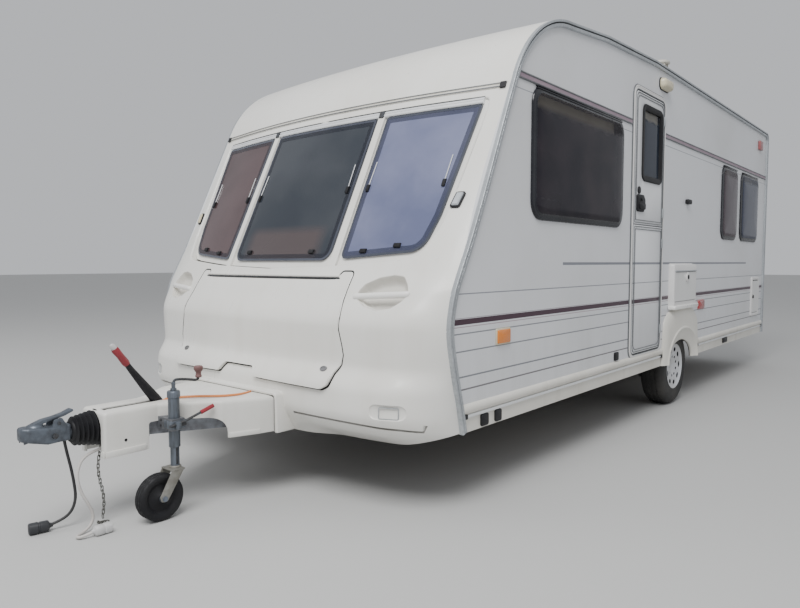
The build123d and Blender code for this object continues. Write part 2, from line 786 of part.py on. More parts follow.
# Axle, arms and drums
tube_y = y_axle - axle_setback
axle = rod((-axle_half, tube_y, axle_height), (axle_half, tube_y, axle_height), axle_radius)
for side in (-1, 1):
    axle += block((side * rail_x - 30, side * rail_x + 30), (tube_y - 60, tube_y + 60),
                  (axle_height + 20, rail_foot))
arms = []
for side in (-1, 1):
    near = axle_half
    far = axle_half + arm_wide
    arm = block((min(side * near, side * far), max(side * near, side * far)),
                (tube_y - 40, y_axle + 40), (axle_height - 38, axle_height + 30))
    hub = (side * far, y_axle, tyre_radius)
    arm += rod(hub, (side * (wheel_face - 42), y_axle, tyre_radius), stub_radius)
    arm += rod(hub, (side * (far + drum_wide), y_axle, tyre_radius), drum_radius)
    arms.append(arm)
save(axle + arms[0] + arms[1], "axle")

# Road wheels
tyre_face = make_face(Polyline(
    (rim_radius, 8), (rim_radius, tyre_width - 8), (rim_radius + 30, tyre_width),
    (tyre_radius - 30, tyre_width),
    (tyre_radius, tyre_width - 24), (tyre_radius, 24), (tyre_radius - 30, 0), (rim_radius + 30, 0),
    close=True))
rim_face = make_face(Polyline(
    (stub_radius + bore_gap, tyre_width - 60), (60, tyre_width - 60), (120, tyre_width - 30),
    (rim_radius - 8, tyre_width - 50),
    (rim_radius - 8, 8), (rim_radius, 8), (rim_radius, tyre_width - 8), (rim_radius - 10, tyre_width - 2),
    (rim_radius - 26, tyre_width - 24), (120, tyre_width - 18), (60, tyre_width - 40),
    (stub_radius + bore_gap, tyre_width - 40),
    close=True))
for name, side in (("door", 1), ("far", -1)):
    place = Pos(side * (wheel_face - tyre_width), y_axle, tyre_radius) * Rot(0, side * 90, 0)
    tyre = revolve(Plane.XZ * tyre_face, Axis.Z)
    rim = revolve(Plane.XZ * rim_face, Axis.Z)
    rim -= PolarLocations(trim_hole_circle, trim_holes) * Cylinder(trim_hole_radius, 3 * tyre_width)
    save(place * tyre, "tyre_" + name)
    save(place * rim, "wheel_" + name)

# Steadies, stowed under the floor
steadies = [("front_door", steady_front, 1, 1), ("front_far", steady_front, -1, 1),
            ("rear_door", steady_rear, 1, -1), ("rear_far", steady_rear, -1, -1)]
for name, station, side, way in steadies:
    x = side * steady_x
    y = at(station)
    tip = y + way * steady_length
    low = steady_height - steady_deep / 2
    high = steady_height + steady_deep / 2
    leg = block((x - steady_wide / 2, x + steady_wide / 2), (min(y, tip), max(y, tip)), (low, high))
    hollow = (min(y + way * 60, tip - way * 60), max(y + way * 60, tip - way * 60))
    leg -= block((x - steady_wide / 2 + steady_sheet, x + steady_wide / 2 - steady_sheet), hollow,
                 (low - 1, high - steady_sheet))
    foot = (min(tip, tip - way * 2 * foot_half), max(tip, tip - way * 2 * foot_half))
    leg += block((x - foot_half, x + foot_half), foot, (low - foot_thick, low))
    save(leg, "steady_" + name)
mounts = []
for name, station, side, way in steadies:
    x = side * steady_x
    y = at(station)
    for dx in (-1, 1):
        inner = x + dx * (steady_wide / 2 + 3 + fit)
        mounts.append(block((inner - 3, inner + 3), (y - 25, y + 25), (steady_height - 20, floor_under)))
save(one([*both_sides(rail), *cross, *mounts]), "chassis")

# Lamps, handles, vents, bumper
marker_x = (half_width - 122, half_width - 78)
marker_front = 446
marker_reach = 60
marker_height = (1322, 1400)
awning_lamp_box = (2690, 2830, door_head + 80, door_head + 135)
awning_lamp_radius = 25
awning_lamp_proud = 34
vent_x = half_width - 145
vent_station = 2850
vent_radius = 62
vent_tall = 62
vent_neck = 46
vent_cap = 28
skylight_half = 200
skylight_station = 2600
skylight_tall = 50
tail_outer = half_width - 80
tail_wide = 250
tail_tall = 110
lamp = block(marker_x, (at(marker_front), at(marker_front + marker_reach)), marker_height) - outer_block
lamps = both_sides(max(lamp.solids(), key=lambda solid: solid.volume))
awning_lamp = side_prism(plain(awning_lamp_box, 0, awning_lamp_radius),
                         (half_width, half_width + awning_lamp_proud))
bar_face = make_face(Polyline(*bar_outline, close=True)) & grab_face
grab_bar = (front_slice(-grab_proud) - front_slice(grab_thick)) & front_prism(bar_face, front_reach)
save(one(both_sides(grab_bar)), "grab_handles")
base = (Align.CENTER, Align.CENTER, Align.MIN)
vent = Pos(vent_x, at(vent_station), roof_height) * Cylinder(vent_neck, vent_tall, align=base)
vent += Pos(vent_x, at(vent_station), roof_height + vent_tall - vent_cap) * Cylinder(vent_radius, vent_cap,
                                                                                     align=base)
skylight = Pos(0, at(skylight_station), roof_height) * Box(2 * skylight_half, 2 * skylight_half,
                                                           skylight_tall, align=base)
save(one([vent, skylight]), "roof_vents")
bumper = block((-half_width + 30, half_width - 30), (y_rear - 30, y_rear + bumper_reach),
               (skirt_foot, wall_foot))
bumper += block((-half_width + 30, half_width - 30), (y_rear, y_rear + bumper_reach),
                (wall_foot, bumper_head))
save(bumper, "rear_bumper")
tail = block((tail_outer - tail_wide, tail_outer), (y_rear, y_rear + 20),
             (bumper_head, bumper_head + tail_tall))
save(one([*lamps, awning_lamp, *both_sides(tail)]), "lamps")


# Cords

def cord(points, radius):
    """Tube along straight runs joined by tangent arcs."""
    points = [(x, at(s), z) for x, s, z in points]
    runs = [Vector(*b) - Vector(*a) for a, b in zip(points, points[1:])]
    radii = []
    for a, b in zip(runs, runs[1:]):
        turn = radians(a.get_angle(b))
        radii.append(0.45 * min(a.length, b.length) / tan(turn / 2))
    path = FilletPolyline(*points, radius=radii)
    start = Plane(origin=path @ 0, z_dir=path % 0)
    return sweep(start * Circle(radius), path=path)


white_radius = 5
black_radius = 6
white_points = [
    (30, -676, 335), (33, -704, 316), (40, -745, 312), (48, -784, 296), (53, -806, 256),
    (56, -808, 208), (60, -793, 154), (64, -768, 104), (66, -752, 60), (72, -764, 26),
    (84, -800, 9), (102, -838, 8), (128, -842, 9), (139, -812, 15), (140, -785, 21),
]
black_points = [
    (-14, -826, 373), (-15, -818, 325), (-17, -802, 255), (-19, -790, 185),
    (-19, -784, 120), (-27, -798, 66), (-40, -832, 36), (-54, -878, 24),
]
save(cord(white_points, white_radius), "white_cord")
save(cord(black_points, black_radius), "black_cord")
white_plug = rod((140, at(-785), 21), (141, at(-715), 21), 21)
black_plug = rod((-54, at(-878), 24), (-70, at(-952), 24), 23)
save(one([white_plug, black_plug]), "cord_plugs")
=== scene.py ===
import math

import bpy
from mathutils import Matrix, Vector


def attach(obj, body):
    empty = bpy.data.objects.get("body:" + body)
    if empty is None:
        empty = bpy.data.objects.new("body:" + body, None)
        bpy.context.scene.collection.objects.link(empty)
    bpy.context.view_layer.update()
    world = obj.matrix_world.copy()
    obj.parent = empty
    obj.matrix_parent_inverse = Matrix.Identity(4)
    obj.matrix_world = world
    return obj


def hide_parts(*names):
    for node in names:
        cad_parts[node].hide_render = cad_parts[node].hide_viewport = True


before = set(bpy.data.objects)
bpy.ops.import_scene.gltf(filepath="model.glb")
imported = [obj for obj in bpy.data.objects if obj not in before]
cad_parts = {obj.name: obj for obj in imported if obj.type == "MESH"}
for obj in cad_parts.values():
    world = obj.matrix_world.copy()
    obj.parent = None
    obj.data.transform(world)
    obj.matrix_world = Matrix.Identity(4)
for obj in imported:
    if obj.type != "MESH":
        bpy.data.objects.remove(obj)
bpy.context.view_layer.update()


def noseY(station):
    # metres behind the front of the belly, as a place along Y
    return station - 2.478


# stage and camera
stage = {
    "eye": (2.719, -4.406, 1.09), "turn": (86.348, 0, 40.554), "lens": 29.51,
    "floor": (0.5, 0.5, 0.49), "sky": (0.9, 0.92, 0.96), "skyStrength": 0.66,
    "key": ((3, -6.5, 8.5), 960, 5), "fill": ((-6, -7, 5), 160, 5),
}


def clearSelection():
    if bpy.context.object and bpy.context.object.mode != "OBJECT":
        bpy.ops.object.mode_set(mode="OBJECT")
    bpy.ops.object.select_all(action="DESELECT")


def pick(piece):
    clearSelection()
    piece.select_set(True)
    bpy.context.view_layer.objects.active = piece


def setStage():
    clearSelection()
    bpy.ops.object.camera_add(location=stage["eye"], rotation=[math.radians(a) for a in stage["turn"]])
    camera = bpy.context.object
    camera.name = "camera"
    camera.data.lens = stage["lens"]
    camera.data.sensor_width = 36
    camera.data.clip_end = 200
    bpy.context.scene.camera = camera
    clearSelection()
    bpy.ops.mesh.primitive_plane_add(size=120)
    floor = bpy.context.object
    floor.name = "studioFloor"
    mat, tree, shader, coords = newFinish("studioFloorFinish", 0.9)
    shader.inputs["Base Color"].default_value = (*stage["floor"], 1)
    floor.data.materials.append(mat)
    for name, (place, power, size) in (("keyLight", stage["key"]), ("fillLight", stage["fill"])):
        bpy.ops.object.light_add(type="AREA", location=place)
        lamp = bpy.context.object
        lamp.name = name
        lamp.data.energy = power
        lamp.data.size = size
        lamp.visible_glossy = name == "keyLight"
        lamp.rotation_euler = (Vector((0, 0, 1)) - Vector(place)).to_track_quat("-Z", "Y").to_euler()
    world = bpy.data.worlds.new("overcastSky")
    bpy.context.scene.world = world
    world.use_nodes = True
    setInputs(world.node_tree.nodes["Background"], {"Color": (*stage["sky"], 1), "Strength": stage["skyStrength"]})


# finishes
def setInputs(node, settings):
    for key, value in settings.items():
        node.inputs[key].default_value = value


def newFinish(name, roughness=0.5, metallic=0):
    mat = bpy.data.materials.new(name)
    mat.use_nodes = True
    tree = mat.node_tree
    shader = tree.nodes["Principled BSDF"]
    setInputs(shader, {"Roughness": roughness, "Metallic": metallic})
    place = tree.nodes.new("ShaderNodeTexCoord")
    return mat, tree, shader, place.outputs["Object"]


def noiseAt(tree, coords, scale, detail=3, stretch=None):
    if stretch:
        mapping = tree.nodes.new("ShaderNodeMapping")
        mapping.inputs["Scale"].default_value = stretch
        tree.links.new(coords, mapping.inputs["Vector"])
        coords = mapping.outputs["Vector"]
    noise = tree.nodes.new("ShaderNodeTexNoise")
    setInputs(noise, {"Scale": scale, "Detail": detail})
    tree.links.new(coords, noise.inputs["Vector"])
    return noise.outputs["Fac"]


def rangeOf(tree, value, low, high, toLow=0, toHigh=1):
    node = tree.nodes.new("ShaderNodeMapRange")
    setInputs(node, {"From Min": low, "From Max": high, "To Min": toLow, "To Max": toHigh})
    tree.links.new(value, node.inputs["Value"])
    return node.outputs["Result"]


def mathOf(tree, kind, first, second, third=None):
    node = tree.nodes.new("ShaderNodeMath")
    node.operation = kind
    for slot, value in zip(node.inputs, (first, second, third)):
        if value is None:
            continue
        if isinstance(value, (int, float)):
            slot.default_value = value
        else:
            tree.links.new(value, slot)
    return node.outputs[0]


def mixOf(tree, share, first, second):
    node = tree.nodes.new("ShaderNodeMix")
    node.data_type = "RGBA"
    tree.links.new(share, node.inputs["Factor"])
    for slot, colour in ((node.inputs["A"], first), (node.inputs["B"], second)):
        if isinstance(colour, tuple):
            slot.default_value = (*colour[:3], 1)
        else:
            tree.links.new(colour, slot)
    return node.outputs["Result"]


def dress(tree, shader, colour, roughness, height, strength, distance=0.001):
    # joins the colour, the roughness and the relief to the shader
    tree.links.new(colour, shader.inputs["Base Color"])
    if roughness:
        tree.links.new(roughness, shader.inputs["Roughness"])
    node = tree.nodes.new("ShaderNodeBump")
    setInputs(node, {"Strength": strength, "Distance": distance})
    tree.links.new(height, node.inputs["Height"])
    tree.links.new(node.outputs["Normal"], shader.inputs["Normal"])


def mouldedFinish(name, pale, grime, roughness, grimeShare=0.35, grain=900, grainStrength=0.05, coat=0):
    # pale moulded skin with soft patches, rain streaks and a fine grain
    mat, tree, shader, coords = newFinish(name, roughness)
    patches = noiseAt(tree, coords, 1.6, 4)
    streaks = noiseAt(tree, coords, 9, 5, (1, 1, 0.12))
    specks = noiseAt(tree, coords, 55, 3)
    share = rangeOf(tree, patches, 0.42, 0.72)
    streakShare = rangeOf(tree, streaks, 0.52, 0.8, 0, 0.8)
    speckShare = rangeOf(tree, specks, 0.66, 0.78, 0, 0.35)
    both = mathOf(tree, "ADD", share, streakShare)
    amount = mathOf(tree, "MULTIPLY", mathOf(tree, "ADD", both, speckShare), grimeShare)
    dress(tree, shader, mixOf(tree, amount, pale, grime),
        rangeOf(tree, streaks, 0.3, 0.75, roughness - 0.05, roughness + 0.12), noiseAt(tree, coords, grain, 2),
        grainStrength)
    setInputs(shader, {"Coat Weight": coat, "Coat Roughness": 0.12})
    return mat


def metalFinish(name, bright, dull, roughness, metallic=0.85, scale=60, stretch=None, strength=0.12):
    mat, tree, shader, coords = newFinish(name, roughness, metallic)
    cloud = noiseAt(tree, coords, 7, 5)
    fine = noiseAt(tree, coords, scale, 4, stretch)
    mixed = mathOf(tree, "MULTIPLY_ADD", fine, 0.5, mathOf(tree, "MULTIPLY", cloud, 0.6))
    share = rangeOf(tree, mixed, 0.38, 0.72)
    dress(tree, shader, mixOf(tree, share, bright, dull),
        rangeOf(tree, fine, 0.3, 0.7, roughness - 0.08, roughness + 0.15), fine, strength, 0.0006)
    return mat


def plainFinish(name, colour, other, roughness, scale=40, strength=0.1, alpha=1, coat=0, gloss=0.5):
    mat, tree, shader, coords = newFinish(name, roughness)
    fine = noiseAt(tree, coords, scale, 4)
    cloud = noiseAt(tree, coords, 6, 3)
    share = rangeOf(tree, cloud, 0.35, 0.7)
    dress(tree, shader, mixOf(tree, share, colour, other),
        rangeOf(tree, fine, 0.3, 0.7, max(roughness - 0.08, 0.02), roughness + 0.1), fine, strength, 0.0008)
    setInputs(shader, {"Alpha": alpha, "Specular IOR Level": gloss, "Coat Weight": coat})
    return mat


def frontPaneFinish():
    # acrylic whose tint goes from mauve on the left to pale violet blue on the right
    mat, tree, shader, coords = newFinish("frontPaneTint", 0.1)
    split = tree.nodes.new("ShaderNodeSeparateXYZ")
    tree.links.new(coords, split.inputs[0])
    cloud = noiseAt(tree, coords, 2.2, 4)
    left = mathOf(tree, "LESS_THAN", split.outputs["X"], -0.42)
    right = mathOf(tree, "GREATER_THAN", split.outputs["X"], 0.42)
    patches = rangeOf(tree, cloud, 0.35, 0.65)
    centre = mixOf(tree, patches, (0.02, 0.026, 0.036), (0.042, 0.048, 0.058))
    seatUp = rangeOf(tree, split.outputs["Z"], 1.235, 1.285, 1, 0)
    seatWide = rangeOf(tree, mathOf(tree, "ABSOLUTE", split.outputs["X"], 0), 0.24, 0.32, 1, 0)
    seat = mathOf(tree, "MULTIPLY", mathOf(tree, "MULTIPLY", seatUp, seatWide), 0.75)
    centre = mixOf(tree, seat, centre, (0.085, 0.062, 0.06))
    mauve = mixOf(tree, patches, (0.052, 0.027, 0.029), (0.085, 0.052, 0.055))
    violet = mixOf(tree, patches, (0.12, 0.135, 0.235), (0.2, 0.215, 0.33))
    colour = mixOf(tree, left, mixOf(tree, right, centre, violet), mauve)
    dress(tree, shader, colour, rangeOf(tree, cloud, 0.3, 0.7, 0.08, 0.2), cloud, 0.03, 0.002)
    setInputs(shader, {"Alpha": 0.93, "Coat Weight": 0.12})
    return mat


def paneWithBand(name, colour, other, low, high, clear=0.45):
    # dark acrylic that lets the blind show near its head
    mat = plainFinish(name, colour, other, 0.12, 3, 0.02, gloss=0.14)
    tree = mat.node_tree
    where = tree.nodes.new("ShaderNodeTexCoord")
    split = tree.nodes.new("ShaderNodeSeparateXYZ")
    tree.links.new(where.outputs["Object"], split.inputs[0])
    shader = tree.nodes["Principled BSDF"]
    tree.links.new(rangeOf(tree, split.outputs["Z"], low, high, 0.95, clear), shader.inputs["Alpha"])
    return mat


wallLines = {
    # height, half thickness, colour, where it starts and ends (stations)
    "thinTop": (1.91, 0.0024, (0.3, 0.31, 0.34), 0.7, 5.92),
    "greyBand": (1.082, 0.0075, (0.2, 0.21, 0.24), 1.3, 5.2),
    "thinUpper": (0.954, 0.0027, (0.26, 0.27, 0.3), 0.3, 5.92),
    "maroon": (0.833, 0.0125, (0.045, 0.014, 0.03), 0.26, 5.92),
    # the line under the maroon and the four rib lines are painted shade along the pressed ribs, not paint stripes
    "ribShadeUnderMaroon": (0.811, 0.0022, (0.42, 0.34, 0.38), 0.26, 5.92),
    "overMaroon": (0.849, 0.0014, (0.3, 0.26, 0.3), 0.26, 5.92),
    "ribShade1": (0.782, 0.003, (0.24, 0.25, 0.27), 0.26, 5.92),
    "ribShade2": (0.705, 0.0032, (0.23, 0.24, 0.26), 0.26, 5.92),
    "ribShade3": (0.594, 0.0037, (0.21, 0.22, 0.24), 0.28, 5.92),
    "ribShade4": (0.538, 0.0037, (0.17, 0.16, 0.17), 0.3, 5.92),
}


def sheetFinish(name, pale, lines):
    # painted aluminium sheet with its stipple, stripes and pressed ribs; the ribs are dark lines of painted shade
    mat, tree, shader, coords = newFinish(name, 0.42)
    split = tree.nodes.new("ShaderNodeSeparateXYZ")
    tree.links.new(coords, split.inputs[0])
    along, up = split.outputs["Y"], split.outputs["Z"]
    patches = noiseAt(tree, coords, 1.3, 4)
    streaks = noiseAt(tree, coords, 14, 5, (1, 1, 0.07))
    stipple = noiseAt(tree, coords, 420, 2)
    low = rangeOf(tree, up, 0.35, 1, 0.55, 0)
    dirt = mathOf(tree, "MULTIPLY", rangeOf(tree, streaks, 0.42, 0.78), low)
    patchShare = rangeOf(tree, patches, 0.4, 0.75, 0, 0.35)
    share = mathOf(tree, "ADD", mathOf(tree, "MULTIPLY", dirt, 0.5), patchShare)
    colour = mixOf(tree, share, pale, (0.5, 0.5, 0.48))
    outside = mathOf(tree, "GREATER_THAN", mathOf(tree, "ABSOLUTE", split.outputs["X"], 0), 1.09)
    dips = None
    for height, half, tone, start, end in lines.values():
        near = mathOf(tree, "COMPARE", up, height, half)
        after = mathOf(tree, "GREATER_THAN", along, noseY(start))
        before = mathOf(tree, "LESS_THAN", along, noseY(end))
        mask = mathOf(tree, "MULTIPLY", near, mathOf(tree, "MULTIPLY", after, before))
        mask = mathOf(tree, "MULTIPLY", mask, outside)
        colour = mixOf(tree, mask, colour, tone)
        dips = mask if dips is None else mathOf(tree, "MAXIMUM", dips, mask)
    dress(tree, shader, colour, None, mathOf(tree, "MULTIPLY_ADD", dips, -1.2, stipple), 0.22, 0.0012)
    shader.inputs["Coat Weight"].default_value = 0.15
    return mat


gelcoat = mouldedFinish("gelcoatWhite", (0.8, 0.79, 0.75), (0.63, 0.6, 0.53), 0.3, 0.3, coat=0.25)
gelcoatCool = mouldedFinish("gelcoatRear", (0.76, 0.76, 0.75), (0.58, 0.57, 0.53), 0.34, 0.35, coat=0.2)
wallSheet = sheetFinish("paintedSheet", (0.715, 0.725, 0.75), wallLines)
creamPlastic = mouldedFinish("creamMoulding", (0.74, 0.72, 0.66), (0.52, 0.49, 0.42), 0.38, 0.45)
coverPlastic = mouldedFinish("coverPlastic", (0.76, 0.75, 0.71), (0.52, 0.5, 0.44), 0.4, 0.4, grain=500,
    grainStrength=0.1)
railAlloy = metalFinish("railAlloy", (0.52, 0.55, 0.57), (0.36, 0.38, 0.4), 0.42, 0.55, 90)
brightAlloy = metalFinish("brightAlloy", (0.84, 0.85, 0.86), (0.74, 0.75, 0.76), 0.34, 0.35, 120, strength=0.03)
# galvanised steel painted much darker than it is, as the shade it lies in under the body
shadedSteelGrey = metalFinish("galvanisedSteel", (0.27, 0.29, 0.32), (0.15, 0.15, 0.16), 0.5, 0.7, 35, strength=0.3)
zincGrey = metalFinish("zincTube", (0.2, 0.23, 0.28), (0.1, 0.11, 0.12), 0.45, 0.65, 70, (1, 1, 0.15), 0.25)
darkSteel = metalFinish("darkSteel", (0.075, 0.085, 0.1), (0.04, 0.035, 0.03), 0.5, 0.3, 60)
tintedPane = frontPaneFinish()
skyPane = plainFinish("skylightPane", (0.55, 0.56, 0.55), (0.45, 0.45, 0.43), 0.35, 20, 0.1, alpha=0.85)
paneBorder = plainFinish("paneBorder", (0.008, 0.009, 0.013), (0.016, 0.017, 0.022), 0.25, 30, 0.04, coat=0.15,
    gloss=0.35)
blackPlastic = plainFinish("blackPlastic", (0.01, 0.01, 0.012), (0.022, 0.022, 0.024), 0.5, 200, 0.15, gloss=0.3)
blackRubber = plainFinish("blackRubber", (0.008, 0.008, 0.01), (0.02, 0.02, 0.021), 0.55, 120, 0.2, gloss=0.3)
tyreRubber = plainFinish("tyreRubber", (0.022, 0.022, 0.022), (0.055, 0.052, 0.048), 0.75, 180, 0.3)
redGrip = plainFinish("redGrip", (0.32, 0.022, 0.035), (0.2, 0.03, 0.035), 0.42, 150, 0.15)
orangeLens = plainFinish("orangeLens", (0.8, 0.24, 0.02), (0.7, 0.19, 0.02), 0.2, 260, 0.3, coat=0.5)
redLens = plainFinish("redLens", (0.42, 0.03, 0.03), (0.32, 0.02, 0.02), 0.2, 260, 0.3, coat=0.5)
clearLens = plainFinish("clearLens", (0.62, 0.62, 0.6), (0.5, 0.5, 0.48), 0.18, 260, 0.25, coat=0.5)
smokedLens = plainFinish("yellowedLens", (0.68, 0.62, 0.44), (0.58, 0.52, 0.36), 0.3, 90, 0.15, coat=0.3)
boardFinish = plainFinish("floorBoard", (0.16, 0.13, 0.1), (0.24, 0.19, 0.14), 0.75, 30, 0.2)
# near black for the inside of the spats: painted shade of the dark under the body
spatLiningShade = plainFinish("spatLiningShade", (0.035, 0.035, 0.035), (0.07, 0.065, 0.06), 0.8, 40, 0.3)
whiteSteel = plainFinish("trimWhite", (0.66, 0.67, 0.7), (0.5, 0.5, 0.5), 0.35, 60, 0.08, coat=0.3)
whiteFlex = plainFinish("whiteFlex", (0.62, 0.6, 0.58), (0.5, 0.47, 0.44), 0.5, 150, 0.1)
blackFlex = plainFinish("blackFlex", (0.02, 0.02, 0.022), (0.04, 0.04, 0.04), 0.5, 150, 0.1)
ventPlastic = plainFinish("ventPlastic", (0.55, 0.53, 0.47), (0.42, 0.4, 0.35), 0.55, 70, 0.15)
lockGrey = plainFinish("lockGrey", (0.2, 0.2, 0.21), (0.12, 0.12, 0.12), 0.4, 90, 0.1)
# the door's sheet has the same stripes and the painted shade line under the maroon
doorSheet = sheetFinish("doorSheet", (0.73, 0.74, 0.76),
    {key: wallLines[key] for key in ("greyBand", "thinUpper", "maroon", "ribShadeUnderMaroon", "overMaroon")})
maroonLine = plainFinish("maroonLine", (0.085, 0.028, 0.045), (0.12, 0.05, 0.065), 0.4, 90, 0.05)
lineGrey = metalFinish("trimLine", (0.2, 0.21, 0.22), (0.13, 0.135, 0.14), 0.45, 0.4, 90)
frontBorder = plainFinish("frontPaneBorder", (0.04, 0.046, 0.066), (0.06, 0.066, 0.088), 0.16, 30, 0.04, coat=0.3)
blackPlugRubber = plainFinish("blackPlugRubber", (0.025, 0.027, 0.032), (0.05, 0.05, 0.052), 0.5, 90, 0.2)
plateWhite = plainFinish("blankPlate", (0.7, 0.7, 0.66), (0.6, 0.6, 0.56), 0.4, 60, 0.06)
castGrey = metalFinish("castHead", (0.15, 0.175, 0.21), (0.075, 0.08, 0.09), 0.44, 0.6, 45, strength=0.35)
fadedRed = plainFinish("fadedKnob", (0.24, 0.13, 0.125), (0.16, 0.08, 0.075), 0.6, 80, 0.2)
forkGrey = metalFinish("forkSteel", (0.31, 0.305, 0.28), (0.19, 0.18, 0.155), 0.55, 0.5, 40, strength=0.25)
darkZinc = metalFinish("chainSteel", (0.2, 0.21, 0.2), (0.1, 0.09, 0.07), 0.5, 0.7, 90, strength=0.2)
orangeFlex = plainFinish("orangeFlex", (0.75, 0.26, 0.08), (0.6, 0.2, 0.06), 0.5, 120, 0.1)
mauveInsert = plainFinish("mauveInsert", (0.36, 0.27, 0.32), (0.3, 0.22, 0.27), 0.5, 90, 0.1)
darkPane = paneWithBand("darkPane", (0.014, 0.013, 0.019), (0.03, 0.024, 0.03), 1.835, 1.865)
mauvePane = paneWithBand("mauvePane", (0.05, 0.034, 0.044), (0.075, 0.055, 0.065), 1.835, 1.865, 0.6)
bluePane = paneWithBand("bluePane", (0.02, 0.028, 0.058), (0.036, 0.042, 0.075), 1.835, 1.865, 0.6)
doorPane = paneWithBand("doorPane", (0.016, 0.024, 0.04), (0.026, 0.034, 0.052), 2.01, 2.035)
frontFlange = plainFinish("frontPaneFlange", (0.022, 0.024, 0.036), (0.032, 0.034, 0.048), 0.14, 30, 0.04, alpha=0.42,
    gloss=0.3)
fadedLens = plainFinish("fadedLens", (0.38, 0.1, 0.1), (0.3, 0.09, 0.09), 0.35, 120, 0.2, coat=0.2)
blindCloth = plainFinish("blindCloth", (0.68, 0.63, 0.52), (0.56, 0.51, 0.41), 0.85, 220, 0.3)
pinkPlastic = plainFinish("pinkPlastic", (0.55, 0.28, 0.28), (0.45, 0.22, 0.22), 0.45, 90, 0.1)
whiteMould = mouldedFinish("whiteMoulding", (0.76, 0.75, 0.74), (0.56, 0.55, 0.52), 0.36, 0.3, coat=0.2)
# a lighter copy of the white moulding: painted highlight on the hatch sill and the grab bars where they catch the
# light
brightWhite = mouldedFinish("brightSill", (0.87, 0.86, 0.83), (0.68, 0.66, 0.62), 0.3, 0.2, coat=0.3)
# darker gelcoat for the grab recesses: grime and painted shade inside them
recessShade = mouldedFinish("recessGrimeAndShade", (0.69, 0.67, 0.62), (0.5, 0.47, 0.41), 0.36, 0.4, coat=0.15)
# dark gelcoat for the long grooves: painted shadow under the ledge above them
grooveShade = mouldedFinish("groovePaintedShadow", (0.36, 0.35, 0.33), (0.24, 0.23, 0.21), 0.45, 0.4, coat=0.05)
markerLens = plainFinish("markerLens", (0.5, 0.53, 0.56), (0.4, 0.43, 0.46), 0.22, 200, 0.2, coat=0.6)
plugWhite = plainFinish("plugWhite", (0.6, 0.6, 0.6), (0.45, 0.44, 0.42), 0.45, 110, 0.12)


# making tools
weldGap = 0.00002


def editAll(piece, action, **settings):
    # one editing step on everything in a mesh
    pick(piece)
    bpy.ops.object.mode_set(mode="EDIT")
    bpy.ops.mesh.select_all(action="SELECT")
    action(**settings)
    bpy.ops.object.mode_set(mode="OBJECT")


def tidyNormals(piece):
    editAll(piece, bpy.ops.mesh.normals_make_consistent, inside=False)


def shapedGrid(name, across, along, place, closed=False, capped=True):
    # a flat grid whose points are moved to where place(u, v) puts them
    clearSelection()
    bpy.ops.mesh.primitive_grid_add(x_subdivisions=across, y_subdivisions=along, size=2)
    piece = bpy.context.object
    piece.name = name
    for vertex in piece.data.vertices:
        vertex.co = Vector(place(vertex.co.x / 2 + 0.5, vertex.co.y / 2 + 0.5))
    if closed:
        editAll(piece, bpy.ops.mesh.remove_doubles, threshold=weldGap)
        if capped:
            editAll(piece, bpy.ops.mesh.fill_holes, sides=0)
        tidyNormals(piece)
    return piece


def loft(name, rings, capped=True):
    # rings of points joined from one to the next
    count, last = len(rings[0]), len(rings) - 1
    return shapedGrid(name, count, last, lambda u, v: rings[round(v * last)][round(u * count) % count], True, capped)


def slab(name, outline, place):
    # a flat outline made thick: place(a, b, t) puts its points, t runs from 0 to 1 through the depth
    clearSelection()
    bpy.ops.mesh.primitive_circle_add(vertices=len(outline), radius=1, fill_type="NGON")
    piece = bpy.context.object
    piece.name = name
    for vertex, (a, b) in zip(piece.data.vertices, outline):
        vertex.co = Vector((a, b, 0))
    editAll(piece, bpy.ops.mesh.extrude_region_move, TRANSFORM_OT_translate={"value": (0, 0, 1)})
    for vertex in piece.data.vertices:
        vertex.co = Vector(place(*vertex.co))
    tidyNormals(piece)
    return piece


def useModifier(piece, kind, **settings):
    pick(piece)
    modifier = piece.modifiers.new(kind.lower(), kind)
    for key, value in settings.items():
        setattr(modifier, key, value)
    bpy.ops.object.modifier_apply(modifier=modifier.name)


def softEdges(piece, width, segments=2, angle=35):
    useModifier(piece, "BEVEL", width=width, segments=segments, limit_method="ANGLE", angle_limit=math.radians(angle),
        harden_normals=False, use_clamp_overlap=True)


def cut(piece, tool, operation="DIFFERENCE"):
    useModifier(piece, "BOOLEAN", operation=operation, object=tool, solver="EXACT")
    bpy.data.objects.remove(tool)


def join(name, *pieces):
    pick(pieces[0])
    if len(pieces) > 1:
        for piece in pieces:
            piece.select_set(True)
        bpy.ops.object.join()
    pieces[0].name = name
    return pieces[0]


def applyPlace():
    bpy.ops.object.transform_apply(location=True, rotation=True, scale=True)


def painted(piece, finish):
    piece.data.materials.clear()
    piece.data.materials.append(finish)
    return piece


def doneAs(name, pieces, angle=32, replaces=None, body="caravan"):
    # painted parts that make one piece: smooth where it should be, and riding on its body
    piece = join(name, *pieces)
    applyPlace()
    bpy.ops.object.shade_smooth_by_angle(angle=math.radians(angle))
    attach(piece, body)
    if replaces:
        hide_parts(replaces)
    return piece


def done(piece, finish, body="caravan", angle=32, replaces=None):
    return doneAs(piece.name, [painted(piece, finish)], angle, replaces, body)


def cornerArc(before, corner, after, radius, steps):
    b, c, a = Vector(before), Vector(corner), Vector(after)
    d1, d2 = (b - c).normalized(), (a - c).normalized()
    half = d1.angle(d2) / 2
    reach = min(radius / math.tan(half), (b - c).length * 0.49, (a - c).length * 0.49)
    radius = reach * math.tan(half)
    centre = c + (d1 + d2).normalized() * (radius / math.sin(half))
    start, end = c + d1 * reach - centre, c + d2 * reach - centre
    turn = start.angle_signed(end)
    return [tuple(centre + Matrix.Rotation(-turn * i / steps, 2) @ start) for i in range(steps + 1)]


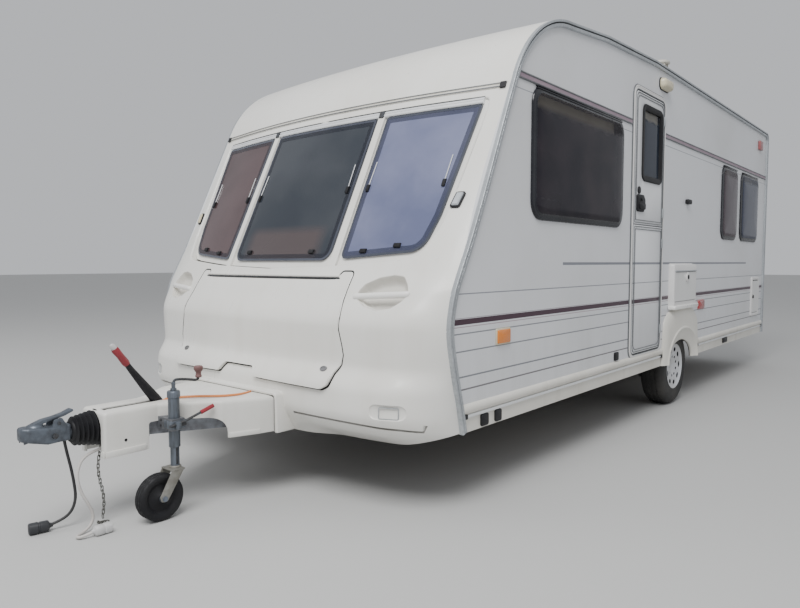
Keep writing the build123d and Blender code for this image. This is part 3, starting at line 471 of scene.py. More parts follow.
def roundPoly(points, radii, steps=6):
    if isinstance(radii, (int, float)):
        radii = [radii] * len(points)
    out = []
    for i, point in enumerate(points):
        before, here, after = Vector(points[i - 1]), Vector(point), Vector(points[(i + 1) % len(points)])
        straight = (before - here).angle(after - here) > math.radians(176)
        if radii[i] <= 0 or straight:
            out.append(tuple(point))
        else:
            out += cornerArc(before, here, after, radii[i], steps)
    return out


def outlineOf(shape, grow=0):
    # a sharp outline and its corner radii, grown and then rounded
    points, radii = shape
    return roundPoly(grown(points, grow) if grow else points, [max(r + grow, 0.004) if r else 0 for r in radii])


def roundRect(a0, a1, b0, b1, radius, steps=6):
    return roundPoly([(a0, b0), (a1, b0), (a1, b1), (a0, b1)], radius, steps)


def curveAlong(name, points, radius, roundness, steps=0):
    # a round curve along points, smooth where it has steps between them
    clearSelection()
    data = bpy.data.curves.new(name, "CURVE")
    data.dimensions = "3D"
    spline = data.splines.new("NURBS" if steps else "POLY")
    spline.points.add(len(points) - 1)
    for knot, point in zip(spline.points, points):
        knot.co = (*point, 1)
    if steps:
        spline.order_u = 3
        spline.use_endpoint_u = True
        spline.resolution_u = steps
    data.bevel_depth = radius
    data.bevel_resolution = roundness
    data.use_fill_caps = True
    piece = bpy.data.objects.new(name, data)
    bpy.context.collection.objects.link(piece)
    return piece


def tube(name, points, radius, sides=12, curved=False):
    # a round bar along points
    pick(curveAlong(name, points, radius, max(sides // 4 - 1, 1), 8 if curved else 0))
    bpy.ops.object.convert(target="MESH")
    return bpy.context.object


def circle(a, b, radius, count, tall=None):
    turns = [i * math.tau / count for i in range(count)]
    return [(a + radius * math.cos(turn), b + (tall or radius) * math.sin(turn)) for turn in turns]


def spun(name, profile, centre, side, steps=48):
    # a closed profile of (radius, offset along X) spun round an axle along X
    clearSelection()
    bpy.ops.mesh.primitive_circle_add(vertices=len(profile), radius=1, fill_type="NOTHING")
    piece = bpy.context.object
    piece.name = name
    for vertex, (radius, offset) in zip(piece.data.vertices, profile):
        vertex.co = Vector((centre[0] + side * offset, centre[1], centre[2] + radius))
    bpy.ops.object.mode_set(mode="EDIT")
    bpy.ops.mesh.select_all(action="SELECT")
    bpy.ops.mesh.spin(steps=steps, angle=math.tau, center=centre, axis=(1, 0, 0))
    bpy.ops.mesh.select_all(action="SELECT")
    bpy.ops.mesh.remove_doubles(threshold=weldGap)
    bpy.ops.mesh.normals_make_consistent(inside=False)
    bpy.ops.object.mode_set(mode="OBJECT")
    return piece


def boxOf(name, low, high, bevel=0, segments=2):
    centre = [(a + b) / 2 for a, b in zip(low, high)]
    clearSelection()
    bpy.ops.mesh.primitive_cube_add(size=1, location=centre)
    piece = bpy.context.object
    piece.name = name
    piece.scale = [b - a for a, b in zip(low, high)]
    applyPlace()
    if bevel:
        softEdges(piece, bevel, segments)
    return piece


# front moulding
frontShape = {
    # height, setback at the centre, setback at the side edge
    "skin": [(0.24, 0.3, 0.396), (0.27, 0.205, 0.386), (0.315, 0.1, 0.372), (0.36, 0.032, 0.36), (0.44, 0, 0.342),
        (0.53, 0.006, 0.318), (0.64, 0.058, 0.29), (0.8, 0.056, 0.262), (0.95, 0.125, 0.29), (1.05, 0.19, 0.338),
        (1.165, 0.255, 0.4), (1.925, 0.64, 0.752)],
    "recess": [(1, 0.2175, 0.33), (1.925, 0.6575, 0.752)],
    "bowHalf": 0.85, "bowDeep": 0.072, "half": 1.0985, "thick": 0.024,
    "foot": [(0, 0.301), (0.35, 0.301), (0.46, 0.287), (0.62, 0.275), (0.75, 0.279), (0.92, 0.297), (0.98, 0.312),
        (1.05, 0.334), (1.0985, 0.35)],
    "head": 1.925, "beamGap": (0.344, 0.452), "lip": (0.36, 0.35, 0.56, 0.65),
    "recessLine": [(0, 1.062), (0.33, 1.073), (0.46, 1.077), (0.8, 1.102), (0.883, 1.114), (0.915, 1.144),
        (0.961, 1.254), (0.975, 1.37), (1.016, 1.807), (1.012, 1.857), (0, 1.857)],
}

lidShape = {
    "side": [(0.144, 0.537), (0.578, 0.526), (0.612, 0.542), (0.62, 0.595), (0.642, 0.635), (0.65, 0.679),
        (0.642, 0.723), (0.625, 0.79), (0.624, 0.843), (0.609, 0.92), (0.605, 0.99), (0.602, 1.047), (0.538, 1.047),
        (0.515, 1.012)],
    "notch": ((0.106, 0.583), (-0.115, 0.583), (-0.15, 0.537)),
    "flare": 0.02, "flareTop": 0.68, "flareFoot": 0.54, "gap": 0.0062, "thick": 0.02,
    "lock": (0.557, 0.608, 0.019, 0.013),
}

paneShape = {
    "centre": ([(-0.378, 1.1), (0.378, 1.1), (0.385, 1.825), (-0.385, 1.825)], (0.055, 0.055, 0.01, 0.01)),
    "side": ([(0.456, 1.106), (0.895, 1.14), (0.935, 1.3), (0.986, 1.825), (0.456, 1.825)],
        (0.03, 0.09, 0, 0.012, 0.012)),
    "border": 0.009, "flange": 0.031, "thick": 0.006, "lift": 0.01, "divider": (0.4, 0.44),
    "foot": 1.05, "head": 1.86,
}

grabShape = {
    "outline": [(0.659, 0.939), (0.693, 0.993), (0.757, 1.023), (0.829, 1.035), (0.88, 1.029), (0.911, 0.995),
        (0.934, 0.951), (0.907, 0.917), (0.872, 0.891), (0.803, 0.879), (0.727, 0.897)],
    "bar": [(0.657, 0.936, 0.003), (0.66, 0.936, 0.01), (0.668, 0.937, 0.015), (0.79, 0.945, 0.015),
        (0.926, 0.952, 0.015), (0.935, 0.953, 0.01), (0.938, 0.953, 0.003)],
    "low": (0.833, 0.99, 0.426, 0.492), "lowInner": (0.88, 0.96, 0.432, 0.479),
    "groove": [(0.4, 0.3995), (0.557, 0.396), (0.76, 0.391), (0.955, 0.386), (1.03, 0.376), (1.042, 0.406)],
}


def smoothSlopes(table, column):
    xs = [row[0] for row in table]
    ys = [row[column] for row in table]
    steps = [b - a for a, b in zip(xs, xs[1:])]
    rises = [(b - a) / h for a, b, h in zip(ys, ys[1:], steps)]
    slopes = [rises[0]]
    for i in range(1, len(rises)):
        if rises[i - 1] * rises[i] <= 0:
            slopes.append(0)
        else:
            w1, w2 = 2 * steps[i] + steps[i - 1], steps[i] + 2 * steps[i - 1]
            slopes.append((w1 + w2) / (w1 / rises[i - 1] + w2 / rises[i]))
    slopes.append(rises[-1])
    return xs, ys, slopes


def smoothValue(curve, x):
    xs, ys, slopes = curve
    x = min(max(x, xs[0]), xs[-1])
    i = 0
    while i < len(xs) - 2 and x > xs[i + 1]:
        i += 1
    h = xs[i + 1] - xs[i]
    t = (x - xs[i]) / h
    return ((1 + 2 * t) * (1 - t) ** 2 * ys[i] + t * (1 - t) ** 2 * h * slopes[i] + t * t * (3 - 2 * t) * ys[i + 1]
        + t * t * (t - 1) * h * slopes[i + 1])


frontCurves = {key: (smoothSlopes(frontShape[key], 1), smoothSlopes(frontShape[key], 2))
    for key in ("skin", "recess")}
footCurve = smoothSlopes(frontShape["foot"], 1)


def planPoint(u, z, key):
    # |u| up to 1 runs over the bowed front, 1 to 2 round the corner to the side wall
    half, deep, reach = frontShape["bowHalf"], frontShape["bowDeep"], frontShape["half"]
    big = (half * half + deep * deep) / (2 * deep)
    lean = math.asin(half / big)
    centre, edge = (smoothValue(curve, z) for curve in frontCurves[key])
    side, a = (1 if u >= 0 else -1), abs(u)
    if a <= 1:
        x = a * half
        lipTop, near, far, share = frontShape["lip"]
        if key == "skin" and z < lipTop:
            # the lip stands fuller beside the drawbar
            t = min(max((far - x) / (far - near), 0), 1)
            centre -= share * (centre - smoothValue(frontCurves[key][0], lipTop)) * t * t * (3 - 2 * t)
        return side * x, noseY(centre) + big - math.sqrt(big * big - x * x)
    startX, startY, endX, endY = half, centre + deep, reach, edge
    nx, ny = -math.sin(lean), math.cos(lean)
    dx, dy = endX - startX, endY - startY
    bulge = 2 * (dx * nx + dy * ny)
    if abs(bulge) < 0.0006:
        return side * (startX + dx * (a - 1)), noseY(startY + dy * (a - 1))
    r = (dx * dx + dy * dy) / bulge
    cx, cy = startX + nx * r, startY + ny * r
    first, last = math.atan2(startY - cy, startX - cx), math.atan2(endY - cy, endX - cx)
    sweep = (last - first + math.pi) % math.tau - math.pi
    turn = first + sweep * (a - 1)
    return side * (cx + abs(r) * math.cos(turn)), noseY(cy + abs(r) * math.sin(turn))


def frontPoint(u, z, deep=0, key="skin"):
    x, y = planPoint(u, z, key)
    here = Vector((x, y, z))
    if deep == 0:
        return here
    h = 0.01
    ux, uy = planPoint(u + h, z, key)
    vx, vy = planPoint(u - h, z, key)
    tx, ty = planPoint(u, z + h, key)
    bx, by = planPoint(u, z - h, key)
    normal = Vector((ux - vx, uy - vy, 0)).cross(Vector((tx - bx, ty - by, 2 * h))).normalized()
    return here - normal * deep


def uOf(x, z, key="skin"):
    if abs(x) <= frontShape["bowHalf"]:
        return x / frontShape["bowHalf"]
    low, high = 1, 2
    for i in range(22):
        middle = (low + high) / 2
        if planPoint(middle, z, key)[0] < abs(x):
            low = middle
        else:
            high = middle
    return math.copysign((low + high) / 2, x)


def onSkin(x, z, deep=0):
    return frontPoint(uOf(x, z), z, deep)


def onRecess(x, z, deep=0):
    return frontPoint(uOf(x, z, "recess"), z, deep, "recess")


def lidLift(z):
    t = min(max((lidShape["flareTop"] - z) / (lidShape["flareTop"] - lidShape["flareFoot"]), 0), 1)
    return lidShape["flare"] * t * t * (3 - 2 * t)


def onLid(x, z, deep=0):
    return onSkin(x, z, deep - lidLift(z))


def prism(name, outline, front=-2.9, back=-1.2):
    # an outline seen from the front, pulled straight back
    return slab(name, outline, lambda a, b, t: (a, front + (back - front) * t, b))


def punch(outline):
    return prism("cutter", outline)


def frontSheet(name, xLow, xHigh, zLow, zHigh, thick, across, up, key="skin", deep=0, lift=None, foot=None):
    # part of the front surface as a sheet with a thickness
    def place(u, v):
        low = foot(xLow + (xHigh - xLow) * u) if foot else zLow
        z = low + (zHigh - low) * v
        x = xLow + (xHigh - xLow) * u
        return frontPoint(x, z, deep - (lift(z) if lift else 0), key)
    piece = shapedGrid(name, across, up, place)
    useModifier(piece, "SOLIDIFY", thickness=thick, offset=-1)
    return piece


def grown(outline, amount):
    # an outline moved outwards by amount along its own corners
    count = len(outline)
    area = sum(a[0] * b[1] - b[0] * a[1] for a, b in zip(outline, outline[1:] + outline[:1]))
    way = 1 if area > 0 else -1
    result = []
    for i in range(count):
        before, here, after = Vector(outline[i - 1]), Vector(outline[i]), Vector(outline[(i + 1) % count])
        d1, d2 = (here - before).normalized(), (after - here).normalized()
        n1, n2 = Vector((d1.y, -d1.x)) * way, Vector((d2.y, -d2.x)) * way
        middle = n1 + n2
        if middle.length < 0.2:
            middle = n1
        middle.normalize()
        push = amount / max(middle.dot(n1), 0.45)
        result.append(tuple(here + middle * push))
    return result


def facing(piece, towards):
    # most of an open shell looks this way
    way = Vector(towards)
    if sum(face.normal.dot(way) * face.area for face in piece.data.polygons) < 0:
        editAll(piece, bpy.ops.mesh.flip_normals)
    return piece


def ringShell(name, rings, filled=False, towards=(0, -1, 0)):
    # closed rings of points joined from one to the next
    count, last = len(rings[0]), len(rings) - 1
    piece = shapedGrid(name, count, last, lambda u, v: rings[round(v * last)][round(u * count) % count])
    editAll(piece, bpy.ops.mesh.remove_doubles, threshold=0.00001)
    if filled:
        bpy.ops.object.mode_set(mode="EDIT")
        bpy.ops.mesh.select_mode(type="VERT")
        bpy.ops.mesh.select_all(action="DESELECT")
        bpy.ops.object.mode_set(mode="OBJECT")
        for vertex in piece.data.vertices:
            vertex.select = any((vertex.co - Vector(p)).length < weldGap for p in rings[-1])
        bpy.ops.object.mode_set(mode="EDIT")
        bpy.ops.mesh.edge_face_add()
        bpy.ops.object.mode_set(mode="OBJECT")
    tidyNormals(piece)
    return facing(piece, towards)


def lipRing(name, outline, rows, surface, filled=False):
    # an outline on the front, once for each row, grown and pushed in by the row's two numbers
    return ringShell(name, [[surface(x, z, deep) for x, z in grown(outline, grow)] for grow, deep in rows], filled)


def flipX(outline):
    return [(-x, z) for x, z in reversed(outline)]


def lidOutline():
    side = lidShape["side"]
    return side + flipX(side[1:]) + list(reversed(lidShape["notch"]))


def band(points, width):
    # a narrow closed outline round a line
    left, right = [], []
    for i, point in enumerate(points):
        a, b = Vector(points[max(i - 1, 0)]), Vector(points[min(i + 1, len(points) - 1)])
        d = (b - a).normalized()
        n = Vector((-d.y, d.x)) * width / 2
        left.append(tuple(Vector(point) + n))
        right.append(tuple(Vector(point) - n))
    return right + left[::-1]


def makeFront():
    lid = roundPoly(lidOutline(), 0.018, 4)
    recess = frontShape["recessLine"]
    recess = roundPoly(recess + flipX(recess[1:-1]), 0.02, 4)
    grab = roundPoly(grabShape["outline"], 0.03, 3)
    lowBox = roundRect(*grabShape["low"], 0.03)
    groove = band(grabShape["groove"], 0.011)
    gapX, gapZ = frontShape["beamGap"]

    # the skin, with its openings
    def foot(u):
        return smoothValue(footCurve, abs(planPoint(u, 0.33, "skin")[0]))
    shell = frontSheet("frontMoulding", -2, 2, 0, frontShape["head"], frontShape["thick"], 150, 110, foot=foot)
    tools = [punch(grown(recess, 0.01)), punch(grown(lid, lidShape["gap"])),
        punch([(-gapX, 0.2), (gapX, 0.2), (gapX, gapZ), (-gapX, gapZ)])]
    for outline in (grab, lowBox, groove):
        tools.append(punch(outline))
        tools.append(punch(flipX(outline)))
    cut(shell, join("cutter", *tools))

    # rims and pockets
    parts = [lipRing("recessRim", recess, ((0.01, 0), (0.0065, 0.0006), (0.0035, 0.0026), (0.001, 0.006), (0, 0.011),
        (0, 0.03), (-0.001, 0.058)), onSkin)]
    pockets = []
    for flipped in (list, flipX):
        pockets.append(lipRing("grabPocket", flipped(grab),
            ((0, 0), (-0.002, 0.0008), (-0.004, 0.004), (-0.006, 0.012), (-0.011, 0.03), (-0.018, 0.041),
            (-0.028, 0.046)), onSkin, True))
        parts.append(lipRing("lowPocket", flipped(lowBox),
            ((0, 0), (-0.0015, 0.0006), (-0.003, 0.003), (-0.006, 0.005)), onSkin, True))
        pockets.append(lipRing("groovePocket", flipped(groove), ((0, 0), (-0.0012, 0.007), (-0.004, 0.009)), onSkin,
            True))
    # the grab pockets darker with grime and painted shade, the grooves dark with painted shadow
    doneAs("frontPockets", [painted(part, (recessShade, grooveShade)[i % 2]) for i, part in enumerate(pockets)], 32)
    parts.append(lipRing("lidRebate", grown(lid, lidShape["gap"]), ((0, 0), (-0.001, 0.0012), (-0.001, 0.03)),
        onSkin))
    shell = join("frontMoulding", shell, *parts)
    done(shell, gelcoat, replaces="front_panel")

    # the floor of the window recess
    floor = frontSheet("windowRecess", -1.75, 1.75, 1.04, 1.9, 0.012, 90, 50, "recess", 0)
    cut(floor, punch(grown(recess, 0.004)), "INTERSECT")
    centre, side = paneShape["centre"], paneShape["side"]
    inner = outlineOf(side, -0.012)
    holes = [outlineOf(centre, -0.012), inner, flipX(inner)]
    cut(floor, join("cutter", *[punch(hole) for hole in holes]))
    done(floor, gelcoat)

    # panes with their black borders and the clear flange inside them
    foot, head = paneShape["foot"], paneShape["head"]

    def paneLayer(label, thick, lift, outside, inside=None):
        layers = []
        for where, shape, low, high in (("centre", centre, -0.5, 0.5), ("right", side, 0.5, 1.6),
                ("left", side, -1.6, -0.5)):
            layer = frontSheet(where + label, low, high, foot, head, thick, 30, 30, "recess",
                -paneShape["lift"] - lift)
            for grow, way in ((outside, "INTERSECT"), (inside, "DIFFERENCE")):
                if grow is not None:
                    outline = outlineOf(shape, grow)
                    cut(layer, punch(flipX(outline) if where == "left" else outline), way)
            layers.append(layer)
        return layers
    border = paneShape["border"]
    done(join("frontPanes", *paneLayer("FrontPane", paneShape["thick"], 0, 0)), tintedPane, replaces="front_panes")
    done(join("frontPaneBorders", *paneLayer("PaneBorder", 0.012, 0.001, 0.002, -border)), frontBorder)
    done(join("frontPaneFlanges", *paneLayer("PaneFlange", 0.003, 0.0008, 0.001 - border, -paneShape["flange"])),
        frontFlange)

    # raised strips between the panes
    strips = []
    low, high = paneShape["divider"]
    for flip in (1, -1):
        strip = frontSheet("divider", -1, 1, 1.06, head, 0.016, 60, 30, "recess", -0.014)
        xs = sorted((flip * low, flip * high))
        cut(strip, punch([(xs[0], foot), (xs[1], foot), (xs[1], head), (xs[0], head)]), "INTERSECT")
        strips.append(strip)
    done(join("frontDividers", *strips), gelcoat)

    # the locker lid with its flared lip
    sheet = frontSheet("frontLid", -0.85, 0.85, 0.48, 1.08, lidShape["thick"], 90, 50, lift=lidLift)
    cut(sheet, punch(grown(lid, -0.004)), "INTERSECT")
    rim = lipRing("lidRim", lid, ((-0.004, 0), (-0.002, 0.0006), (-0.0005, 0.002), (0, 0.005), (0, 0.01),
        (-0.004, 0.012)), onLid)
    sheet = join("frontLid", sheet, rim)
    done(sheet, gelcoat, "locker", replaces="locker_lid")

    # bars across the grab recesses
    bars, rows = [], grabShape["bar"]
    for flip in (1, -1):
        def place(u, v, flip=flip):
            i = min(int(v * (len(rows) - 1)), len(rows) - 2)
            t = v * (len(rows) - 1) - i
            x, z, r = (a + (b - a) * t for a, b in zip(rows[i], rows[i + 1]))
            base = onSkin(flip * x, z, 0.002)
            turn = u * math.tau
            return base + Vector((0, -r * 0.9 * math.cos(turn), r * math.sin(turn)))
        bars.append(shapedGrid("grabBar", 16, 30, place, closed=True))
    # the bars are in the lighter white, a painted highlight
    done(join("grabBars", *bars), brightWhite, replaces="grab_handles")
    # a fine frame in each low recess
    frames = []
    for flipped in (list, flipX):
        outline = flipped(roundRect(*grabShape["lowInner"], 0.004, 3))
        frames.append(lipRing("lowFrame", outline, ((0.002, 0.0052), (0.002, 0.0034), (-0.0012, 0.0034),
            (-0.0012, 0.0052)), onSkin))
    done(join("lowRecessFrames", *frames), railAlloy)

    locks = []
    x, z, rx, rz = lidShape["lock"]
    for flip in (1, -1):
        locks.append(lipRing("lidLock", circle(flip * x, z, rx, 20, rz)[::flip],
            ((0, 0.002), (0, -0.004), (-0.002, -0.006), (-0.006, -0.006), (-0.007, -0.004)), onLid, True))
    done(join("lidLocks", *locks), lockGrey, "locker")
    print("front moulding, lid and windows made")


# side walls
sideShape = {
    "wall": 1.1,
    "windows": {"frontSide": (0.955, 2.065, 1.31, 1.945, 0.085), "midSide": (4.27, 4.76, 1.3, 1.925, 0.085),
        "rearSide": (4.905, 5.56, 1.3, 1.925, 0.085)},
    "cap": [(0.752, 1.925), (0.945, 2.192), (1.335, 2.345)], "roof": [(1.8, 2.395), (2.6, 2.435)],
    "rear": 5.93, "crown": 2.435, "corner": 0.08, "foot": 0.345,
    "rail": [(0, -0.002), (0, 0.0165), (0.0015, 0.0185), (0.011, 0.0185), (0.0125, 0.0165), (0.0125, 0.007),
        (0.019, 0.007), (0.019, 0.0135), (0.0205, 0.0155), (0.0345, 0.0145), (0.0365, 0.011), (0.0365, -0.002)],
    "upper": (1.974, [(-0.018, 0), (-0.018, 0.0055), (-0.013, 0.007), (-0.01, 0.0055), (-0.009, 0.003),
        (0.009, 0.003), (0.01, 0.0055), (0.013, 0.007), (0.018, 0.0055), (0.018, 0)], ((0.8, 2.215), (2.825, 5.905))),
    "insert": (1.974, [(-0.0095, 0.001), (-0.0095, 0.004), (0.0095, 0.004), (0.0095, 0.001)]),
    "sill": (0.45, [(-0.022, 0), (-0.02, 0.0075), (-0.013, 0.0125), (-0.004, 0.0145), (0.006, 0.014), (0.014, 0.0105),
        (0.02, 0.005), (0.022, 0)]),
    "silver": (0.417, [(-0.0065, 0), (-0.0065, 0.0085), (-0.0045, 0.01), (0.0045, 0.01), (0.0065, 0.0085),
        (0.0065, 0)]),
    "runs": ((0.372, 2.842), (3.658, 5.904)),
}


def sidePlate(name, side, outline, low, high, bevel=0):
    # an outline of (station, height) made thick across the body
    piece = slab(name, outline, lambda a, b, t: (side * (low + (high - low) * t), noseY(a), b))
    if bevel:
        softEdges(piece, bevel, 2)
    return piece


def sideRing(name, side, outer, inner, low, high, bevel=0):
    piece = sidePlate(name, side, outer, low, high)
    cut(piece, sidePlate("cutter", side, inner, low - 0.01, high + 0.01))
    if bevel:
        softEdges(piece, bevel, 2)
    return piece


def sideBox(name, side, station, height, low, high, radius=0, bevel=0):
    return sidePlate(name, side, roundRect(*station, *height, radius, 4), low, high, bevel)


def sideStrip(name, side, start, end, height, profile):
    # a profile of (up, proud) run along the wall
    return loft(name, [[(side * (sideShape["wall"] + proud), noseY(at), height + up) for up, proud in profile]
        for at in (start, end)])


def mitres(path):
    # inward push at each point of a path that runs clockwise seen from the door side
    result = []
    for i, point in enumerate(path):
        before, after = Vector(path[max(i - 1, 0)]), Vector(path[min(i + 1, len(path) - 1)])
        here = Vector(point)
        d1 = (here - before).normalized() if i else (after - here).normalized()
        d2 = (after - here).normalized() if i < len(path) - 1 else d1
        n1, n2 = Vector((d1.y, -d1.x)), Vector((d2.y, -d2.x))
        middle = (n1 + n2).normalized()
        result.append(middle / max(middle.dot(n1), 0.5))
    return result


def threePoint(a, b, c, steps):
    # points of the arc through three points
    ax, ay, bx, by, cx, cy = *a, *b, *c
    d = 2 * (ax * (by - cy) + bx * (cy - ay) + cx * (ay - by))
    ux = ((ax * ax + ay * ay) * (by - cy) + (bx * bx + by * by) * (cy - ay) + (cx * cx + cy * cy) * (ay - by)) / d
    uy = ((ax * ax + ay * ay) * (cx - bx) + (bx * bx + by * by) * (ax - cx) + (cx * cx + cy * cy) * (bx - ax)) / d
    r = math.hypot(ax - ux, ay - uy)
    first, last = math.atan2(ay - uy, ax - ux), math.atan2(cy - uy, cx - ux)
    sweep = (last - first + math.pi) % math.tau - math.pi
    return [(ux + r * math.cos(first + sweep * i / steps), uy + r * math.sin(first + sweep * i / steps))
        for i in range(steps + 1)]


def bodyLine():
    # the body's outline seen from the side: up the front edge, over the roof, down the rear
    edge = frontCurves["skin"][1]
    heights = [sideShape["foot"] + (1.925 - sideShape["foot"]) * i / 40 for i in range(41)]
    path = [(noseY(smoothValue(edge, z)), z) for z in heights[:-1]]
    path += [(noseY(s), z) for s, z in threePoint(*sideShape["cap"], 16)]
    path += [(noseY(s), z) for s, z in sideShape["roof"]]
    rear, crown, corner = sideShape["rear"], sideShape["crown"], sideShape["corner"]
    for i in range(7):
        turn = math.radians(90 * i / 6)
        path.append((noseY(rear - corner + corner * math.sin(turn)), crown - corner + corner * math.cos(turn)))
    path.append((noseY(rear), sideShape["foot"]))
    return path


def wallRing(box, grow, out, corner, steps=8, side=1):
    # a rounded rectangle round a box of (station, station, height, height), standing out from the wall
    s0, s1, z0, z1 = box
    return [(side * (sideShape["wall"] + out), noseY(a), b) for a,
        b in roundRect(s0 - grow, s1 + grow, z0 - grow, z1 + grow, corner, steps)]


def wallShell(name, box, rows, filled=False, least=0, steps=8, side=1):
    # a shell of such rings, each grown and standing out by a row's two numbers
    rings = [wallRing(box[:4], grow, out, max(box[4] + grow, least), steps, side) for grow, out in rows]
    return ringShell(name, rings, filled, (side, 0, 0))


def sidePane(name, side, box):
    # a domed acrylic pane with its dark moulded border
    shells = []
    for label, rows in (("Border", ((0.01, -0.001), (0.011, 0.004), (0.009, 0.009), (0.003, 0.0115), (-0.006, 0.0115),
            (-0.014, 0.013), (-0.022, 0.0165))), ("Dome", ((-0.022, 0.0165), (-0.034, 0.0195), (-0.06, 0.022),
            (-0.11, 0.024), (-0.2, 0.026))), ("Rim", ((0, 0.002), (-0.014, 0.002), (-0.014, -0.026), (0, -0.026)))):
        shells.append(wallShell(name + label, box, rows, label == "Dome", 0.02, side=side))
    return shells


def makeSides():
    wall = sideShape["wall"]
    path = bodyLine()
    push = mitres(path)
    # awning rails, with a dark bead in their channel, which also stands in for the shade inside the channel
    rails = []
    beadAndShade = [(0.0128, 0.006), (0.0128, 0.0105), (0.0187, 0.0105), (0.0187, 0.006)]
    for side in (1, -1):
        for name, profile, finish in (("awningRail", sideShape["rail"], railAlloy), ("railBeadAndShade", beadAndShade, blackRubber)):
            rings = [[(side * (wall + proud), y + way.x * inward, z + way.y * inward) for inward, proud in profile]
                for (y, z), way in zip(path, push)]
            rails.append(painted(loft(name, rings), finish))
    doneAs("awningRails", rails, replaces="awning_rails")

    # pressed strips along the walls
    strips, inserts, caps = [], [], []
    for side in (1, -1):
        height, profile, runs = sideShape["upper"]
        runs = runs if side > 0 else ((runs[0][0], runs[1][1]),)
        for start, end in runs:
            strips.append(painted(sideStrip("upperStrip", side, start, end, height, profile), lineGrey))
            strips.append(painted(sideStrip("upperInsert", side, start, end, height, sideShape["insert"][1]),
                mauveInsert))
        for start, end in sideShape["runs"]:
            height, profile = sideShape["sill"]
            inserts.append(sideStrip("sill", side, start, end, height, profile))
            height, profile = sideShape["silver"]
            strips.append(painted(sideStrip("silverStrip", side, start + 0.03, end - 0.02, height, profile),
                brightAlloy))
            for at in (start + 0.001, end - 0.026):
                caps.append(sideBox("stripCap", side, (at, at + 0.034), (0.406, 0.428), wall - 0.001, wall + 0.0125,
                    0.004, 0.002))
    doneAs("sideStrips", strips)
    done(join("sills", *inserts), creamPlastic)
    done(join("stripCaps", *caps), blackPlastic)

    # side windows
    borders, domes = [], []
    for side in (1, -1):
        for label, box in sideShape["windows"].items():
            border, dome, inner = sidePane(label, side, box)
            borders += [painted(border, paneBorder), painted(inner, paneBorder)]
            domes.append(painted(dome, {"frontSide": darkPane, "midSide": mauvePane, "rearSide": bluePane}[label]))
            s0, s1, z0, z1, radius = box
            for up in (0, 0.011):
                borders.append(painted(sideBox("windowHinge", side, (s0 + 0.03, s1 - 0.03),
                    (z1 - 0.008 + up, z1 - 0.001 + up), wall, wall + 0.0155, 0, 0.002), paneBorder))
    # rear window
    half, z0, z1, radius = rearShape["window"]
    for name, rows, pieces, finish in (("rearBorder", ((0.016, -0.001), (0.017, 0.004), (0.012, 0.01),
            (-0.008, 0.0115), (-0.022, 0.0165)), borders, paneBorder),
            ("rearRim", ((0, 0.002), (-0.014, 0.002), (-0.014, -0.026), (0, -0.026)), borders, paneBorder),
            ("rearDome", ((-0.022, 0.0165), (-0.04, 0.021), (-0.06, 0.024)), domes, darkPane)):
        rings = [[(a, noseY(sideShape["rear"]) + proud, b) for a,
            b in roundRect(-half - grow, half + grow, z0 - grow, z1 + grow, radius + grow, 8)] for grow,
            proud in rows]
        pieces.append(painted(ringShell(name, rings, name == "rearDome", (0, 1, 0)), finish))
    doneAs("sidePanes", domes, replaces="body_panes")
    doneAs("paneBorders", borders)

    # pale blinds gathered at the heads of the windows
    blinds = []
    for side in (1, -1):
        for label, (s0, s1, z0, z1, radius) in sideShape["windows"].items():
            waves = 9 if s1 - s0 > 0.8 else 5
            foot = [(s0 + 0.03 + (s1 - s0 - 0.06) * i / (waves * 4), z1 - 0.085 - 0.012 * math.sin(i * math.pi / 2.6))
                for i in range(waves * 4 + 1)]
            blinds.append(sidePlate("blind", side, foot + [(s1 - 0.03, z1 - 0.01), (s0 + 0.03, z1 - 0.01)],
                wall - 0.052, wall - 0.04))
    done(join("windowBlinds", *blinds), blindCloth)

    # small dark fittings low on the wall, and the vents
    fittings = []
    for s0, s1, z0, z1, proud in ((0.518, 0.577, 0.352, 0.408, 0.01), (0.635, 0.688, 0.352, 0.408, 0.01),
            (2.002, 2.062, 0.478, 0.53, 0.01), (4.436, 4.574, 0.362, 0.408, 0.01), (3.3, 3.39, 1.532, 1.567, 0.024)):
        fittings.append(sideBox("fitting", 1, (s0, s1), (z0, z1), wall - 0.001, wall + proud, 0.01, 0.003))
    done(join("sideFittings", *fittings), blackPlastic)

    reflectors = []
    for side in (1, -1):
        surround = sideBox("reflectorSurround", side, (0.64, 0.765), (0.707, 0.784), wall, wall + 0.006, 0.008, 0.002)
        lens = sideBox("orangeReflector", side, (0.648, 0.757), (0.714, 0.777), wall + 0.004, wall + 0.012, 0.006,
            0.003)
        reflectors += [painted(surround, smokedLens), painted(lens, orangeLens)]
        surround = sideBox("reflectorSurround", side, (3.668, 3.832), (0.707, 0.786), wall, wall + 0.006, 0.008,
            0.002)
        lens = sideBox("redReflector", side, (3.676, 3.824), (0.714, 0.779), wall + 0.004, wall + 0.014, 0.006, 0.003)
        reflectors += [painted(surround, pinkPlastic), painted(lens, redLens)]
        marker = sideBox("highMarker", side, (5.541, 5.663), (2.228, 2.318), wall, wall + 0.022, 0.01, 0.006)
        reflectors.append(painted(marker, fadedLens))
    doneAs("sideReflectors", reflectors)
    print("side walls made")


# door, hatches and spats
doorShape = {
    "leaf": (2.261, 2.779, 0.491, 2.184), "split": 1.335, "gap": 0.003, "corner": 0.04, "proud": 0.008,
    "window": (2.385, 2.73, 1.635, 2.105, 0.04), "handle": (2.296, 2.426, 1.417, 1.528),
    "keyhole": (2.332, 1.556, 0.024),
    "frame": (2.226, 2.814, 0.456, 2.219, 0.074),
}

hatchShape = {
    "outer": (2.975, 3.495, 0.75, 1.075), "proud": 0.04, "lock": (3.262, 0.978, 0.036),
    "sill": (2.962, 3.512, 0.742, 0.772), "rear": (5.425, 5.72, 0.545, 0.935), "flap": (2.991, 3.479, 0.797, 1.019),
}

